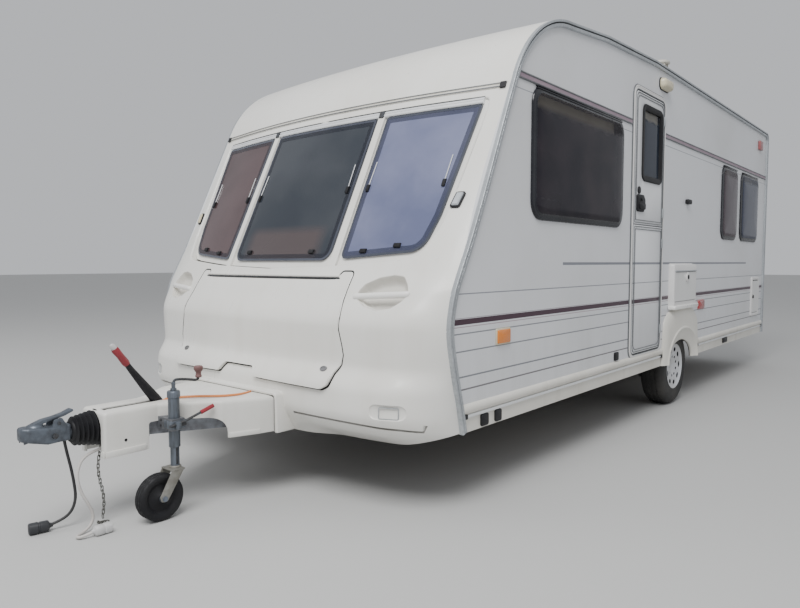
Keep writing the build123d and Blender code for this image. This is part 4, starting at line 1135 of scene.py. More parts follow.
spatShape = {
    "start": 2.845, "end": 3.655, "foot": 0.345, "head": 0.742, "axle": 3.25,
    "ridge": (0.34, 0.596, 0.04), "lip": (0.276, 0.508, 0.012), "thick": 0.004,
}

rearShape = {"window": (0.56, 1.29, 1.88, 0.085), "lamp": (0.77, 1.02, 0.56, 0.67)}


def clipped(outline, low, high):
    # keeps the part of a closed (station, height) outline between two heights
    out = []
    for a, b in zip(outline, outline[1:] + outline[:1]):
        inside = low <= a[1] <= high
        if inside:
            out.append(a)
        for level in (low, high):
            if (a[1] - level) * (b[1] - level) < 0:
                t = (level - a[1]) / (b[1] - a[1])
                out.append((a[0] + (b[0] - a[0]) * t, level))
    cleaned = []
    for point in out:
        if not cleaned or (Vector(point) - Vector(cleaned[-1])).length > 0.0005:
            cleaned.append(point)
    return cleaned


def makeDoor():
    wall = sideShape["wall"]
    s0, s1, z0, z1 = doorShape["leaf"]
    split, gap, proud = doorShape["split"], doorShape["gap"], doorShape["proud"]
    leaf = roundRect(s0, s1, z0, z1, doorShape["corner"], 8)
    window = doorShape["window"]
    hole = roundRect(*window[:4], window[4], 6)
    # upper leaf with its window hole and a pressed inner line
    upper = sidePlate("upperLeaf", 1, clipped(leaf, split + gap, z1 + 0.1), wall - 0.028, wall + proud)
    cut(upper, sidePlate("cutter", 1, hole, wall - 0.06, wall + 0.05))
    softEdges(upper, 0.003, 2, 50)
    done(upper, doorSheet, "upper_door", replaces="door_upper")
    lower = sidePlate("lowerLeaf", 1, clipped(leaf, z0 - 0.1, split - gap), wall - 0.028, wall + proud)
    softEdges(lower, 0.003, 2, 50)
    done(lower, doorSheet, "lower_door", replaces="door_lower")
    # beading round each half, in two fine lines
    for label, body, low, high in (("upper", "upper_door", split + gap, z1 + 0.1),
            ("lower", "lower_door", z0 - 0.1, split - gap)):
        beads = []
        for inset in (0.008, 0.024):
            outer, inner = (clipped(roundRect(s0 + by, s1 - by, z0 + by, z1 - by, doorShape["corner"], 8), low + by,
                high - by) for by in (inset, inset + 0.0045))
            beads.append(sideRing("doorBead", 1, outer, inner, wall + proud - 0.001, wall + proud + 0.0035, 0.001))
        done(join(label + "DoorBeads", *beads), lineGrey, body)
    seal = sideRing("doorSeal", 1, roundRect(s0 - 0.0062, s1 + 0.0062, z0 - 0.0062, z1 + 0.0062,
        doorShape["corner"] + 0.006, 8), roundRect(s0 - 0.001, s1 + 0.001, z0 - 0.001, z1 + 0.001,
        doorShape["corner"], 8), wall - 0.02, wall + 0.004)
    done(seal, blackRubber)

    # window rubber, pane and the blind behind it
    rubber = wallShell("doorWindowRubber", window, ((0.015, proud - 0.001), (0.015, proud + 0.004),
        (0.01, proud + 0.008), (-0.012, proud + 0.008), (-0.024, proud + 0.001), (-0.025, proud - 0.01)), least=0.01,
        steps=6)
    done(rubber, blackRubber, "upper_door")
    glass = wallShell("doorGlass", window, ((-0.002, -0.006), (-0.01, -0.002), (-0.03, 0), (-0.1, 0.001)), True, 0.01,
        6)
    done(glass, doorPane, "upper_door", replaces="door_pane")
    top = window[3]
    foot = [(window[0] + 0.02 + 0.305 * i / 12, top - 0.075 - 0.008 * math.sin(i * 1.3)) for i in range(13)]
    blind = sidePlate("doorBlind", 1, foot + [(window[1] - 0.02, top - 0.006), (window[0] + 0.02, top - 0.006)],
        wall - 0.024, wall - 0.014)
    done(blind, blindCloth, "upper_door")

    # handle plate with its pull, and the deadlock
    h0, h1, l0, l1 = doorShape["handle"]
    face = wall + proud
    plate = sidePlate("handlePlate", 1, roundPoly([(h0, l0), (h1 - 0.028, l0), (h1, l0 + 0.03), (h1, l1 - 0.03),
        (h1 - 0.028, l1), (h0, l1)], [0.016, 0.016, 0.02, 0.02, 0.016, 0.016], 5), face - 0.001, face + 0.013, 0.004)
    pull = sidePlate("handlePull", 1, roundRect(h0 + 0.014, h1 - 0.016, l0 + 0.016, l0 + 0.058, 0.012, 4),
        face + 0.011, face + 0.022, 0.004)
    barrel = sidePlate("handleBarrel", 1, circle(h0 + 0.06, l1 - 0.026, 0.014, 24), face + 0.011, face + 0.019, 0.002)
    done(join("doorHandle", plate, pull, barrel), blackPlastic, "upper_door")
    s, z, r = doorShape["keyhole"]
    disc = sidePlate("doorKeyhole", 1, circle(s, z, r, 28), face - 0.001, face + 0.008, 0.003)
    done(disc, blackPlastic, "upper_door")
    for body, places in (("upper_door", (1.43, 2.06)), ("lower_door", (0.62, 1.22))):
        parts = [sideBox("hinge", 1, (s1 - 0.012, s1 + 0.004), (z - 0.032, z + 0.032), face - 0.001, face + 0.009,
            0.004, 0.002) for z in places]
        done(join(body.split("_")[0] + "DoorHinges", *parts), railAlloy, body)

    # door frame, service hatch frame and rear hatch frame
    frames = [painted(wallShell(name, doorShape["frame"], rows), finish) for name, rows,
        finish in (("doorFrame", ((0, -0.001), (0, 0.006), (-0.003, 0.008), (-0.007, 0.0085), (-0.0085, 0.006),
        (-0.0125, 0.006), (-0.014, 0.0085), (-0.02, 0.0085), (-0.0285, 0.008), (-0.029, 0.002), (-0.029, -0.027)),
        whiteMould), ("doorFrameLine", ((0.0055, -0.001), (0.0055, 0.0035), (-0.0005, 0.007)), lineGrey),
        ("doorFrameGroove", ((-0.023, 0.0088), (-0.029, 0.0088), (-0.0294, 0.004)), lineGrey))]
    proud, flap = hatchShape["proud"], hatchShape["flap"]
    rings = [wallRing(hatchShape["outer"], grow, out, corner, 5) for grow, out,
        corner in ((0.006, -0.001, 0.018), (0.006, 0.004, 0.018), (0.001, 0.006, 0.014), (0, 0.03, 0.014),
        (-0.004, 0.038, 0.012), (-0.01, 0.0405, 0.01))]
    rings += [wallRing(flap, 0, out, 0.012, 5) for out in (0.0405, 0.01)]
    hatchShell = painted(ringShell("hatchFrame", rings, False, (1, 0, 0)), whiteMould)
    head = painted(sideBox("hatchHinge", 1, (2.99, 3.48), (1.021, 1.029), wall + 0.036, wall + 0.047, 0, 0.002),
        railAlloy)
    m0, m1, n0, n1 = hatchShape["sill"]
    # the sill is painted lighter than its frame, a painted highlight
    sill = painted(sideBox("hatchSill", 1, (m0, m1), (n0, n1), wall + 0.002, wall + 0.056, 0.01, 0.006), brightWhite)
    tall = [wallRing(hatchShape["rear"], grow, out, 0.022, 5) for grow,
        out in ((0.004, -0.001), (0.003, 0.008), (-0.002, 0.0135), (-0.01, 0.0145), (-0.022, 0.014), (-0.026, 0.012),
        (-0.029, 0.004))]
    tallShell = painted(ringShell("rearHatchFrame", tall, False, (1, 0, 0)), whiteMould)
    doneAs("sideFrames", frames + [hatchShell, head, sill, tallShell], replaces="side_frames")

    s, z, r = hatchShape["lock"]
    face = wall + proud
    boss = sidePlate("hatchLock", 1, circle(s, z, r, 32), face - 0.002, face + 0.01, 0.004)
    key = sidePlate("hatchKey", 1, circle(s, z, 0.017, 20), face + 0.008, face + 0.0135, 0.0015)
    doneAs("hatchLock", [painted(boss, whiteMould), painted(key, blackPlastic)], body="service_hatch")
    face = wall + 0.014
    boss = sidePlate("rearHatchLock", 1, circle(5.468, 0.74, 0.017, 24), face - 0.001, face + 0.008, 0.002)
    done(boss, blackPlastic, "rear_hatch")
    print("door and hatches made")


def archRow(half, foot, apex, count):
    # half ellipse over the axle, from the front foot to the rear foot
    turns = [math.pi * i / (count - 1) for i in range(count)]
    return [(spatShape["axle"] - half * math.cos(turn), foot + (apex - foot) * math.sin(turn)) for turn in turns]


def between(row, other, share):
    return [(a[0] + (b[0] - a[0]) * share, a[1] + (b[1] - a[1]) * share) for a, b in zip(row, other)]


def outlineRow(inset, count):
    # the spat's outer line, from its front foot over its domed head to its rear foot
    s0, s1 = spatShape["start"] + inset, spatShape["end"] - inset
    foot, head = spatShape["foot"], spatShape["head"] - inset
    line = [(s0, foot), (s0 + 0.012, 0.5), (s0 + 0.03, head - 0.075), (s0 + 0.14, head - 0.01),
        ((s0 + s1) / 2, head + 0.004), (s1 - 0.14, head - 0.01), (s1 - 0.03, head - 0.075), (s1 - 0.012, 0.5),
        (s1, foot)]
    soft = [line[0]]
    for i in range(1, len(line) - 1):
        if i in (2, 3, 5, 6):
            soft += cornerArc(line[i - 1], line[i], line[i + 1], 0.09, 7)
        else:
            soft.append(line[i])
    soft.append(line[-1])
    lengths = [0]
    for a, b in zip(soft, soft[1:]):
        lengths.append(lengths[-1] + (Vector(b) - Vector(a)).length)
    row, j = [], 0
    for i in range(count):
        want = lengths[-1] * i / (count - 1)
        while j < len(soft) - 2 and lengths[j + 1] < want:
            j += 1
        t = (want - lengths[j]) / (lengths[j + 1] - lengths[j])
        row += between([soft[j]], [soft[j + 1]], t)
    return row


def makeSpats():
    wall, foot, count = sideShape["wall"], spatShape["foot"], 61
    half, apex, proud = spatShape["ridge"]
    lipHalf, lipApex, lipProud = spatShape["lip"]
    # rows of points from the outer line to the lip over the tyre, and how far each stands out
    table = [(outlineRow(inset, count), out) for inset, out in ((0, 0), (0.001, 0.007), (0.006, 0.014),
        (0.018, 0.022), (0.034, 0.028), (0.052, 0.032))]
    outer, ridge = table[-1][0], archRow(half + 0.01, foot, apex + 0.01, count)
    table += [(between(outer, ridge, share), 0.032 + 0.002 * share) for share in (0.35, 0.7)] + [(ridge, 0.035)]
    for grow, more in ((0.004, 0), (-0.004, 0.001), (-0.012, -0.004)):
        table.append((archRow(half + grow, foot, apex + grow, count), proud + more))
    inner, lip = table[-1][0], archRow(lipHalf, foot, lipApex, count)
    for share in (0.3, 0.6, 1):
        drop = proud - 0.004 + (lipProud - proud + 0.004) * (1 - (1 - share) ** 1.6)
        table.append((between(inner, lip, share), drop))
    for inset, back in ((0.006, 0.003), (0.007, 0.014)):
        table.append((archRow(lipHalf - inset, foot, lipApex - inset, count), lipProud - back))
    spats = []
    for side in (1, -1):
        def sheet(name, back, way):
            def place(u, v):
                row, out = table[round(v * (len(table) - 1))]
                s, z = row[round(u * (count - 1))]
                return side * (wall + out - back), noseY(s), z
            piece = shapedGrid(name, count - 1, len(table) - 1, place)
            tidyNormals(piece)
            return facing(piece, (way, 0, 0))
        spat = sheet("wheelSpat", 0, side)
        useModifier(spat, "SOLIDIFY", thickness=spatShape["thick"], offset=-1)
        # each spat gets a near black lining inside it, painted shade
        spats += [painted(spat, creamPlastic), painted(sheet("spatLining", 0.0065, -side), spatLiningShade)]
    doneAs("wheelSpats", spats, replaces="wheel_spats")
    print("spats made")


# road wheels
wheelShape = {
    "radius": 0.292, "width": 0.175, "face": 1.072, "axle": 3.25, "outerHoles": (9, 0.128, 0.017, 0.024),
    "innerHoles": (9, 0.074, 0.01, 0.012),
    "tyre": [(0.168, 0.008), (0.172, 0.003), (0.182, 0.001), (0.196, 0.003), (0.215, 0), (0.236, 0.0005),
        (0.256, 0.004), (0.272, 0.011), (0.283, 0.021), (0.2885, 0.03), (0.291, 0.037), (0.2915, 0.049),
        (0.285, 0.0505), (0.285, 0.0565), (0.292, 0.058), (0.292, 0.078), (0.285, 0.0795), (0.285, 0.0875)],
    "trim": [(0, 0.031), (0.022, 0.031), (0.034, 0.029), (0.046, 0.026), (0.06, 0.02), (0.086, 0.015), (0.104, 0.014),
        (0.146, 0.012), (0.156, 0.009), (0.162, 0.004), (0.168, 0.0015), (0.172, 0.004), (0.1735, 0.01)],
    "tread": (120, 0.0025),
}


def makeWheels():
    radius, width, face = wheelShape["radius"], wheelShape["width"], wheelShape["face"]
    centreY = noseY(wheelShape["axle"])
    outside = wheelShape["tyre"]
    profile = outside + [(r, width - x) for r, x in reversed(outside)]
    for side, label, body in ((1, "door", "tyre_wheel_door"), (-1, "far", "tyre_wheel_far")):
        centre = (side * face, centreY, radius)
        tyre = spun("tyre", [(r, -x) for r, x in profile], centre, side, 120)
        # cross grooves on the shoulders
        turns = wheelShape["tread"][0]
        for vertex in tyre.data.vertices:
            dy, dz = vertex.co.y - centreY, vertex.co.z - radius
            r = math.hypot(dy, dz)
            if r > 0.2875 and round(math.atan2(dz, dy) / math.tau * turns) % 3 == 0:
                share = (r - wheelShape["tread"][1] * 2.2) / r
                vertex.co.y, vertex.co.z = centreY + dy * share, radius + dz * share
        done(tyre, tyreRubber, body, 40, "tyre_" + label)
        # trim with its holes, and the dark wheel behind it
        trim = spun("wheelTrim", [(r if r else 0.0001, -x) for r, x in wheelShape["trim"]]
            + [(r - 0.002 if r > 0.004 else 0.0001, -x - 0.003) for r, x in reversed(wheelShape["trim"])], centre,
            side, 72)
        tools = []
        for count, ring, half, tall in (wheelShape["outerHoles"], wheelShape["innerHoles"]):
            for i in range(count):
                turn = math.tau * (i + (0 if ring > 0.1 else 0.5)) / count
                points = [(out * math.cos(turn) - along * math.sin(turn),
                    out * math.sin(turn) + along * math.cos(turn)) for along, out in circle(0, ring, tall, 20, half)]
                tools.append(slab("cutter", points, lambda a, b, t,
                    side=side: (side * (face - 0.08 + 0.12 * t), centreY + a, radius + b)))
        cut(trim, join("cutter", *tools))
        parts = [painted(trim, whiteSteel)]
        dark = [(0.022, -0.045), (0.1, -0.05), (0.16, -0.06), (0.169, -0.01), (0.1705, -0.01), (0.1705, -0.165),
            (0.16, -0.167), (0.158, -0.07), (0.1, -0.062), (0.022, -0.058)]
        parts.append(painted(spun("wheelDisc", dark, centre, side, 48), darkSteel))
        doneAs(label + "Wheel", parts, 35, "wheel_" + label, body)
    print("wheels made")


def rearBox(name, across, out, up, finish, bevel, segments=2):
    # a box on the rear wall: its ends across, how far it reaches in and out, its heights
    rear, (low, high) = noseY(sideShape["rear"]), sorted(across)
    return painted(boxOf(name, (low, rear + out[0], up[0]), (high, rear + out[1], up[1]), bevel, segments), finish)


def makeLampsAndRoof():
    # marker lamps on the front corners
    parts = []
    for flip in (1, -1):
        shape = [(0.984, 1.334), (1.02, 1.334), (1.032, 1.396), (0.996, 1.396)]
        outline = roundPoly(shape if flip > 0 else flipX(shape), 0.006, 3)
        back = lipRing("markerBack", outline, ((0.005, 0.002), (0.005, -0.007), (0.002, -0.009)), onSkin, True)
        front = lipRing("markerLens", outline, ((-0.002, -0.007), (-0.003, -0.014), (-0.007, -0.018)), onSkin, True)
        parts += [painted(back, blackPlastic), painted(front, markerLens if flip > 0 else smokedLens)]
    # awning lamp over the door
    lamp = (2.682, 2.862, 2.272, 2.348, 0.03)
    parts.append(painted(wallShell("awningLampBase", lamp, ((0.004, -0.001), (0.004, 0.006), (0, 0.007)), True, 0.004,
        6), blackPlastic))
    parts.append(painted(wallShell("awningLamp", lamp, ((0, 0.006), (-0.001, 0.018), (-0.005, 0.032), (-0.013, 0.041),
        (-0.024, 0.045)), True, 0.004, 6), smokedLens))
    # tail lamps: red, amber and clear chambers
    inner, outer, low, high = rearShape["lamp"]
    for flip in (1, -1):
        for a, b, finish in ((outer - 0.1, outer, redLens), (outer - 0.175, outer - 0.104, orangeLens),
                (inner, outer - 0.179, clearLens)):
            parts.append(rearBox("tailLens", (flip * a, flip * b), (-0.001, 0.024), (low + 0.008, high - 0.008),
                finish, 0.007, 3))
        across = flip * (inner - 0.008), flip * (outer + 0.008)
        parts.append(rearBox("tailBase", across, (-0.001, 0.009), (low, high), blackPlastic, 0.004))
    doneAs("lamps", parts, 32, "lamps")

    # mushroom vent and skylight
    x, y, z = 1.015, noseY(2.945), 2.435
    profile = [(0.001, 0), (0.05, 0), (0.052, 0.01), (0.042, 0.016), (0.038, 0.07), (0.061, 0.072), (0.063, 0.078),
        (0.06, 0.086), (0.045, 0.094), (0.02, 0.098), (0.001, 0.0985)]
    vent = painted(roundZ("mushroomVent", [(z + up, r) for r, up in profile], x, y, 36), ventPlastic)
    bars = [painted(boxOf("ventRib", (x - 0.041, y - 0.05 + i * 0.02 - 0.002, z + 0.018),
        (x + 0.041, y - 0.05 + i * 0.02 + 0.002, z + 0.076), 0), ventPlastic) for i in range(1, 5)]
    y = noseY(2.6)

    def dome(u, v):
        a, b = u * 2 - 1, v * 2 - 1
        lift = (1 - abs(a) ** 6) * (1 - abs(b) ** 6)
        return 0.188 * a, y + 0.188 * b, z + 0.016 + 0.034 * min(lift * 1.6, 1)
    top = painted(shapedGrid("skylightDome", 24, 24, dome), skyPane)
    frame4 = painted(boxOf("skylightFrame", (-0.2, y - 0.2, z - 0.008), (0.2, y + 0.2, z + 0.018), 0.006),
        ventPlastic)
    doneAs("roofVents", [vent, frame4, top] + bars, 40, "roof_vents")
    print("lamps and roof made")


# trims on the front
trimShape = {
    "rail": [(-0.025, -0.004), (-0.025, 0.004), (-0.0225, 0.006), (-0.019, 0.006), (-0.0165, 0.0035),
        (-0.009, 0.0035), (-0.0065, 0.007), (-0.002, 0.007), (0, 0.004), (0, -0.004)],
    "railEnd": 1.066, "railTop": 1.9245,
    "hinge": (1.826, 1.856), "hingeRuns": ((-0.99, -0.432), (-0.402, 0.402), (0.432, 0.99)),
    "catches": (-0.76, -0.58, -0.25, 0.25, 0.58, 0.76),
    "stays": ((0.352, 1.43), (0.484, 1.43), (0.905, 1.43)),
    "slot": (0.53, 1.016),
    "fairing": (0.34, 0.49, 0.306), "coverSeam": 0.4665,
}


def alongFront(name, x0, x1, steps, z, profile, surface, finish):
    # a closed profile of (height over z, proud) carried across the front
    count = len(profile)

    def place(u, v):
        up, proud = profile[round(u * count) % count]
        return surface(x0 + (x1 - x0) * v, z + up, -proud)
    return painted(shapedGrid(name, count, steps, place, closed=True), finish)


def makeFrontTrims():
    top, end = trimShape["railTop"], trimShape["railEnd"]
    base = alongFront("trimRail", -end, end, 60, top, trimShape["rail"], onSkin, creamPlastic)
    parts = [base]
    for low, high, out in ((-0.024, -0.0185, 0.007), (-0.0072, -0.0015, 0.008)):
        line = [(low, 0.004), (low, out), (high, out), (high, 0.004)]
        parts.append(alongFront("trimLine", -end, end, 60, top, line, onSkin, lineGrey))
    for flip in (1, -1):
        parts.append(alongFront("trimEnd", flip * (end - 0.012), flip * (end + 0.016), 3, top,
            [(-0.029, -0.002), (-0.029, 0.01), (0.0005, 0.011), (0.0005, -0.002)], onSkin, blackPlastic))
    doneAs("frontTrimRail", parts)

    # hinge rail over the panes, in three lengths
    low, high = trimShape["hinge"]
    lengths = []
    for x0, x1 in trimShape["hingeRuns"]:
        section = [(0, -0.002), (0, 0.014), (0.004, 0.017), (0.012, 0.017), (0.014, 0.013), (0.017, 0.013),
            (0.019, 0.016), (0.027, 0.016), (0.03, 0.012), (0.03, -0.002)]
        lengths.append(alongFront("hingeRail", x0, x1, 24, low, section, onRecess, brightAlloy))
        shade = [(0, 0), (0, 0.015), (0.0035, 0.014), (0.0035, 0)]
        lengths.append(alongFront("hingeShade", x0, x1, 24, high, shade, onRecess, lineGrey))
    for x in (-0.417, 0.417):
        block = [(-0.002, 0), (-0.002, 0.021), (0.031, 0.021), (0.031, 0)]
        lengths.append(alongFront("hingeJoint", x - 0.014, x + 0.014, 2, low, block, onRecess, darkSteel))
    doneAs("paneHingeRail", lengths)

    # catches at the foot of the panes and the stays' bolts half way up
    catches = []
    for x in trimShape["catches"]:
        section = [(0, 0.006), (0, 0.019), (0.004, 0.021), (0.015, 0.02), (0.019, 0.016), (0.019, 0.006)]
        catches.append(alongFront("paneCatch", x - 0.017, x + 0.017, 3, 1.128 if abs(x) < 0.7 else 1.152, section,
            onRecess, blackPlastic))
    for x, z in trimShape["stays"]:
        for flip in (1, -1):
            section = [(0, 0.008), (0, 0.018), (0.004, 0.02), (0.03, 0.02), (0.034, 0.017), (0.034, 0.008)]
            catches.append(alongFront("stayBolt", flip * x - 0.008, flip * x + 0.008, 3, z, section, onRecess,
                blackPlastic))
            lean = 0.004 if x > 0.45 else -0.004
            low, high = onRecess(flip * x, z + 0.02, -0.014), onRecess(flip * (x + lean), z + 0.15, -0.014)
            catches.append(painted(tube("stayRod", [low, high], 0.0024, 8), brightAlloy))
    doneAs("paneCatches", catches)

    # black seal in the lid's gap, which also stands in for the shade in the gap, and the hinge strip over its head
    lid = roundPoly(lidOutline(), 0.018, 4)
    done(lipRing("lidSealAndShade", lid, ((lidShape["gap"] - 0.0002, 0.0008), (0.0002, 0.0016), (-0.016, 0.0022)), onSkin),
        blackRubber)
    half, z = trimShape["slot"]
    strip = [(0.003, -0.002), (0.003, 0.006), (0.006, 0.009), (0.013, 0.008), (0.016, 0.002), (0.016, -0.002)]
    doneAs("lidHingeStrip", [alongFront("lidHingeStrip", -half, half, 40, z, strip, onSkin, gelcoat)])
    # a dark line along the slot under the hinge strip: painted shadow
    line = [(-0.004, 0), (-0.004, 0.0025), (0.001, 0.0025), (0.001, 0)]
    doneAs("lidHeadShadow", [alongFront("lidHeadShadow", -half - 0.006, half + 0.006, 40, z, line, onSkin, paneBorder)])
    print("front trims made")


# drawbar
drawbarShape = {
    "headPlan": [(-0.022, 0.998), (0.022, 0.998), (0.04, 0.975), (0.042, 0.905), (0.03, 0.85), (0.03, 0.812),
        (-0.03, 0.812), (-0.03, 0.85), (-0.042, 0.905), (-0.04, 0.975)],
    "handle": [(0.966, 0.444), (0.95, 0.462), (0.915, 0.474), (0.87, 0.48), (0.835, 0.488), (0.806, 0.5),
        (0.798, 0.498), (0.798, 0.49), (0.83, 0.477), (0.87, 0.468), (0.91, 0.46), (0.935, 0.446), (0.945, 0.436)],
    "gaiter": (0.81, 0.69, 0.405, 6),
    "cover": [(0.1, 0.715), (0.1, 0.48), (0.122, 0.43), (0.258, 0.262), (0.312, 0.095), (0.345, -0.06)],
    "coverTop": 0.478, "coverLow": 0.29, "coverRearLow": 0.309, "wall": 0.005,
    "sideCut": (0.522, 0.237, 0.405, 0.072), "slit": (0.014, 0.05, 0.69, 0.425),
    "lever": [(0.034, 0.425, 0.45, 0.024, 0.011), (0.034, 0.452, 0.486, 0.024, 0.011),
        (0.034, 0.5, 0.548, 0.02, 0.01), (0.034, 0.56, 0.628, 0.014, 0.009), (0.034, 0.582, 0.66, 0.012, 0.009)],
    "grip": [(0.034, 0.578, 0.654, 0.014, 0.013), (0.034, 0.585, 0.664, 0.0165, 0.0155),
        (0.034, 0.608, 0.696, 0.015, 0.0145), (0.034, 0.628, 0.722, 0.0165, 0.0155),
        (0.034, 0.632, 0.728, 0.014, 0.013)],
    "tip": [(0.034, 0.631, 0.727, 0.0125, 0.012), (0.034, 0.64, 0.739, 0.0125, 0.012),
        (0.034, 0.645, 0.746, 0.007, 0.007)],
    "orange": [(0.046, 0.43, 0.472), (0.056, 0.412, 0.4865), (0.075, 0.38, 0.4865), (0.1, 0.335, 0.4865),
        (0.13, 0.292, 0.486), (0.168, 0.252, 0.485), (0.196, 0.2, 0.4825), (0.205, 0.14, 0.48), (0.19, 0.085, 0.477),
        (0.165, 0.04, 0.475)],
}


def ahead(x, forward, z):
    return Vector((x, noseY(-forward), z))


def squared(value, power):
    return math.copysign(abs(value) ** power, value)


def limb(name, rows, sides=16, power=1):
    # an oval bar through rows of (x, forward, z, half height, half width), closed at both ends
    centres = [ahead(*row[:3]) for row in rows]
    rings = []
    for i, row in enumerate(rows):
        tall, wide = row[3:]
        along = (centres[min(i + 1, len(rows) - 1)] - centres[max(i - 1, 0)]).normalized()
        across = Vector((along.y, -along.x, 0)).normalized() if abs(along.z) < 0.5 else Vector((1, 0, 0))
        up = along.cross(across).normalized()
        rings.append([centres[i] + up * tall * squared(a, power) + across * wide * squared(b, power) for a,
            b in circle(0, 0, 1, sides)])
    return loft(name, rings)


def roundY(name, rows, x, z, sides=32, capped=True):
    # rings of (forward, radius) about a line along the body
    rings = [[(a, noseY(-forward), b) for a, b in circle(x, z, radius, sides)] for forward, radius in rows]
    return loft(name, rings, capped)


def roundZ(name, rows, x, y, sides=28):
    # rings of (height, radius) about an upright line
    return loft(name, [[(a, b, z) for a, b in circle(x, y, radius, sides)] for z, radius in rows])


